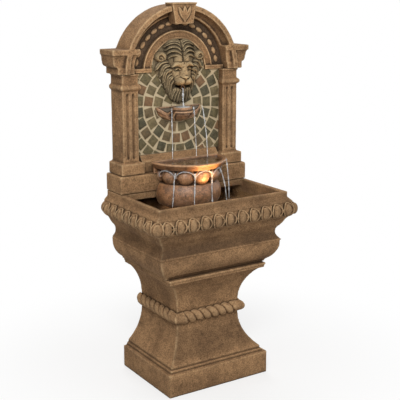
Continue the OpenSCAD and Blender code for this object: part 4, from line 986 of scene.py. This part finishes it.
# four leave the holes between the lobes, and one the end of the lip: the angles and the
# distances from the bowl's axis at top and foot, and how far below the lip each starts
hub = Vector((0, axis_y, 0))
for start, end, near, far, drop in ((-49.5, -53, 0.117, 0.127, 0.033),
                                    (-16.5, -19, 0.117, 0.128, 0.033),
                                    (16.5, 13, 0.117, 0.127, 0.033),
                                    (49.5, 49.5, 0.117, 0.145, 0.033),
                                    (62, 62, 0.1405, 0.153, 0.006)):
    falls.append((hub + swing(start) @ Vector((0, -near, bowl_high[2] - drop)),
                  hub + swing(end) @ Vector((0, -far, pool_z)), bowl_fall_r))
sides, steps = 10, 44
for number, (top, foot, radius) in enumerate(falls):
    waver = random.Random(number)
    phase = [waver.uniform(0, 6.28) for _ in range(4)]
    places = []
    for i in range(steps + 1):
        t = i / steps
        middle = top.lerp(foot, t)
        middle.z = top.z + (foot.z - top.z) * (0.25 * t + 0.75 * t * t)
        middle.x += 0.0011 * t * sin(9 * t + phase[0])
        r = radius * (1 - 0.35 * t) * (1 + 0.22 * sin(31 * t + phase[1])
                                       + 0.16 * sin(67 * t + phase[2]))
        if i in (0, steps):
            r *= 0.4
        for j in range(sides):
            a = 2 * pi * j / sides
            flat = 1 + 0.25 * sin(2 * a + 14 * t + phase[3])
            places.append((middle.x + r * flat * cos(a), middle.y + r * flat * sin(a),
                           middle.z))
    set_water(make_piece("fall_%d" % (number + 1), places, tube_faces(steps, sides)), "panel",
              falling.owner)

# A thin film of water runs down the rib over each lobe to the holes between them. It is white, so
# it is also a painted highlight along the wet ribs.
film_half_w, film_half_h, film_out, film_sag = 0.0325, 0.0235, 0.1145, 0.0085
sides, steps = 8, 32
places, faces = [], []
for lobe in lobes:
    faces += tube_faces(steps, sides, len(places))
    for i in range(steps + 1):
        turn = radians(6 * i - 96)
        r = 0.0004 if i in (0, steps) else 0.0014
        sag = film_sag * max(0, cos(turn))
        for j in range(sides):
            a = 2 * pi * j / sides
            at = Vector(((film_half_w + r * cos(a)) * sin(turn),
                         r * sin(a) - sag,
                         (film_half_h + r * cos(a)) * cos(turn)))
            places.append(lobe @ shift(0, -film_out, lobe_z) @ at)
set_water(make_piece("rib_films_and_highlight", places, faces), "panel", falling.owner)

# The pool in the basin fills the tank from wall to wall. It is a thin sheet, as the other
# pools are, with rings round the places where the streams fall in.
water = new_finish("water")
swirl = water.noise(28, 3)
skin = water.add("BsdfPrincipled", {
    "Base Color": water.mix(swirl, (0.78, 0.74, 0.66, 1), (0.90, 0.88, 0.82, 1)),
    "Roughness": 0.03, "IOR": 1.33, "Transmission Weight": 1.0,
    "Normal": water.bump(swirl, 0.35, 0.003)})
in_shadow = water.add("LightPath").outputs["Is Shadow Ray"]
clear = water.add("BsdfTransparent", {"Color": (0.92, 0.90, 0.85, 1)})
water.add("OutputMaterial", {"Surface": water.mix(in_shadow, skin, clear, "MixShader")})


def ripples(x, y, feet):
    """The height of the rings that spread from where each stream falls in."""
    rise = 0.0
    for foot in feet:
        away = hypot(x - foot.x, y - foot.y)
        rise += 0.0010 * cos(away * 520) * exp(-away * 32)
        rise += 0.0025 * exp(-(away / 0.006) ** 2)
    return rise


def thicken_sheet(piece):
    modify(piece, "SOLIDIFY", thickness=0.003, offset=-1)


tank_half_w, tank_front, tank_back = 0.2405, -0.1463, 0.1798
bpy.ops.mesh.primitive_grid_add(x_subdivisions=190, y_subdivisions=130, size=1)
pool = bpy.context.object
pool.name = "basin_pool"
pool.data.transform(shift(0, (tank_front + tank_back) / 2, pool_z)
                    @ Matrix.Diagonal((2 * tank_half_w, tank_back - tank_front, 1, 1)))
feet = [foot for top, foot, radius in falls if foot.z < pool_z + 0.001]
for point in pool.data.vertices:
    point.co.z += ripples(point.co.x, point.co.y, feet)
thicken_sheet(pool)
set_water(pool, "basin", water.owner)

# The lower bowl's pool stands just under its lip. It is cut to the outline that the bowl's
# hollow has at that level: of the loops where the bowl's solid crosses it, the smallest one
# that goes round a point inside the bowl.
inside = Vector((0, 0.060, bowl_water_z))
pool = copy_node("lower_pool", "lower_bowl")
merge_points(pool)
with whole_mesh(pool):
    bpy.ops.mesh.bisect(plane_co=inside, plane_no=(0, 0, 1), clear_inner=True, clear_outer=True)
links = {}
for edge in pool.data.edges:
    a, b = edge.vertices
    links.setdefault(a, []).append(b)
    links.setdefault(b, []).append(a)
loops = []
left = set(links)
while left:
    here = left.pop()
    loop = [here]
    while onward := [k for k in links[here] if k in left]:
        here = onward[0]
        left.remove(here)
        loop.append(here)
    loops.append([pool.data.vertices[k].co.copy() for k in loop])


def goes_round(loop):
    turn = 0.0
    for a, b in zip(loop, loop[1:] + loop[:1]):
        a, b = a - inside, b - inside
        turn += atan2(a.x * b.y - a.y * b.x, a.x * b.x + a.y * b.y)
    return len(loop) > 6 and abs(turn) > 3


def loop_area(loop):
    return abs(sum(a.x * b.y - b.x * a.y for a, b in zip(loop, loop[1:] + loop[:1]))) / 2


rim = min(filter(goes_round, loops), key=loop_area)
feet = [fall[1] for fall in falls[1:4]]
rings, count = 26, len(rim)
places, faces = [inside], []
for ring in range(1, rings + 1):
    for point in rim:
        at = inside.lerp(point, ring / rings)
        places.append((at.x, at.y, bowl_water_z + ripples(at.x, at.y, feet) * (ring < rings)))
for k in range(count):
    after = (k + 1) % count
    faces.append((0, 1 + k, 1 + after))
    for inner in range(1, 1 + (rings - 1) * count, count):
        outer = inner + count
        faces.append((inner + k, outer + k, outer + after, inner + after))
mesh = bpy.data.meshes.new("lower_pool")
mesh.from_pydata(places, [], faces)
pool.data = mesh


def turn_up(piece, face):
    """Turns a sheet so that one of its faces, and so all of them, looks up."""
    turn_outward(piece)
    if piece.data.polygons[face].normal.z < 0:
        piece.data.flip_normals()


turn_up(pool, 0)
thicken_sheet(pool)
set_water(pool, "panel", water.owner)

# The upper bowl is brimful, so its water bulges over the two dips in the rim. It is white
# with froth round the foot of the lion's stream.


def oval_reach(angle, x, y, half_w, half_d):
    """How far the edge of an oval lies from the middle of the bowl's back."""
    p = (sin(angle) / half_w) ** 2 + (cos(angle) / half_d) ** 2
    q = sin(angle) * x / half_w ** 2 + cos(angle) * y / half_d ** 2
    d = q * q - p * ((x / half_w) ** 2 + (y / half_d) ** 2 - 1)
    return (q + sqrt(d)) / p if d > 0 else 0.0


side_lobe = (0.0607, 0, 0.0313, 0.0223)
dip_at, dip_half, dip_deep = 69, 18, 0.020
mound, mound_r = 0.0055, 0.018
rim_w, from_panel, bulge = 0.0045, 0.0055, 0.0025
places = []
spans, steps = 96, 22
for i in range(spans + 1):
    angle = radians(90 - 180 * i / spans)
    reach = max(oval_reach(abs(angle), 0, front_out, front_r, front_r),
                oval_reach(abs(angle), *side_lobe)) - rim_w
    off = max(0, 1 - abs(abs(degrees(angle)) - dip_at) / dip_half)
    brim = min(cup_water_z, cup_top - dip_deep * off ** 1.5 + bulge)
    for j in range(steps + 1):
        part = j / steps
        x = reach * part * sin(angle)
        y = cup_back - max(reach * part * cos(angle), from_panel)
        z = cup_water_z - (cup_water_z - brim) * part ** 4
        to_foot = hypot(x - upper_foot.x, y - upper_foot.y)
        z += mound * min(1, max(0, 2.1 - to_foot / mound_r))
        places.append((x, y, z + 0.6 * ripples(x, y, [upper_foot])))
faces = []
for i in range(spans):
    for a in range(i * (steps + 1), i * (steps + 1) + steps):
        faces.append((a, a + steps + 1, a + steps + 2, a + 1))
pool = make_piece("upper_pool", places, faces)
merge_points(pool)
with whole_mesh(pool):
    bpy.ops.mesh.dissolve_degenerate(threshold=0.00001)
turn_up(pool, len(pool.data.polygons) // 2)
thicken_sheet(pool)
away = read_points(pool.data) - np.array(upper_foot)
write_layer(pool.data, "froth", np.clip(1.9 - np.hypot(away[:, 0], away[:, 1]) / 0.021, 0, 1))
white_water = new_finish("white_water")
tint = white_water.mix(white_water.noise(160, 4), (0.30, 0.31, 0.31, 1), (0.62, 0.64, 0.65, 1))
tint = white_water.mix(white_water.layer("froth"), (0.12, 0.095, 0.07, 1), tint)
white_water.cover(tint, 0.08, {"IOR": 1.33, "Specular IOR Level": 0.35})
set_water(pool, "panel", white_water.owner)
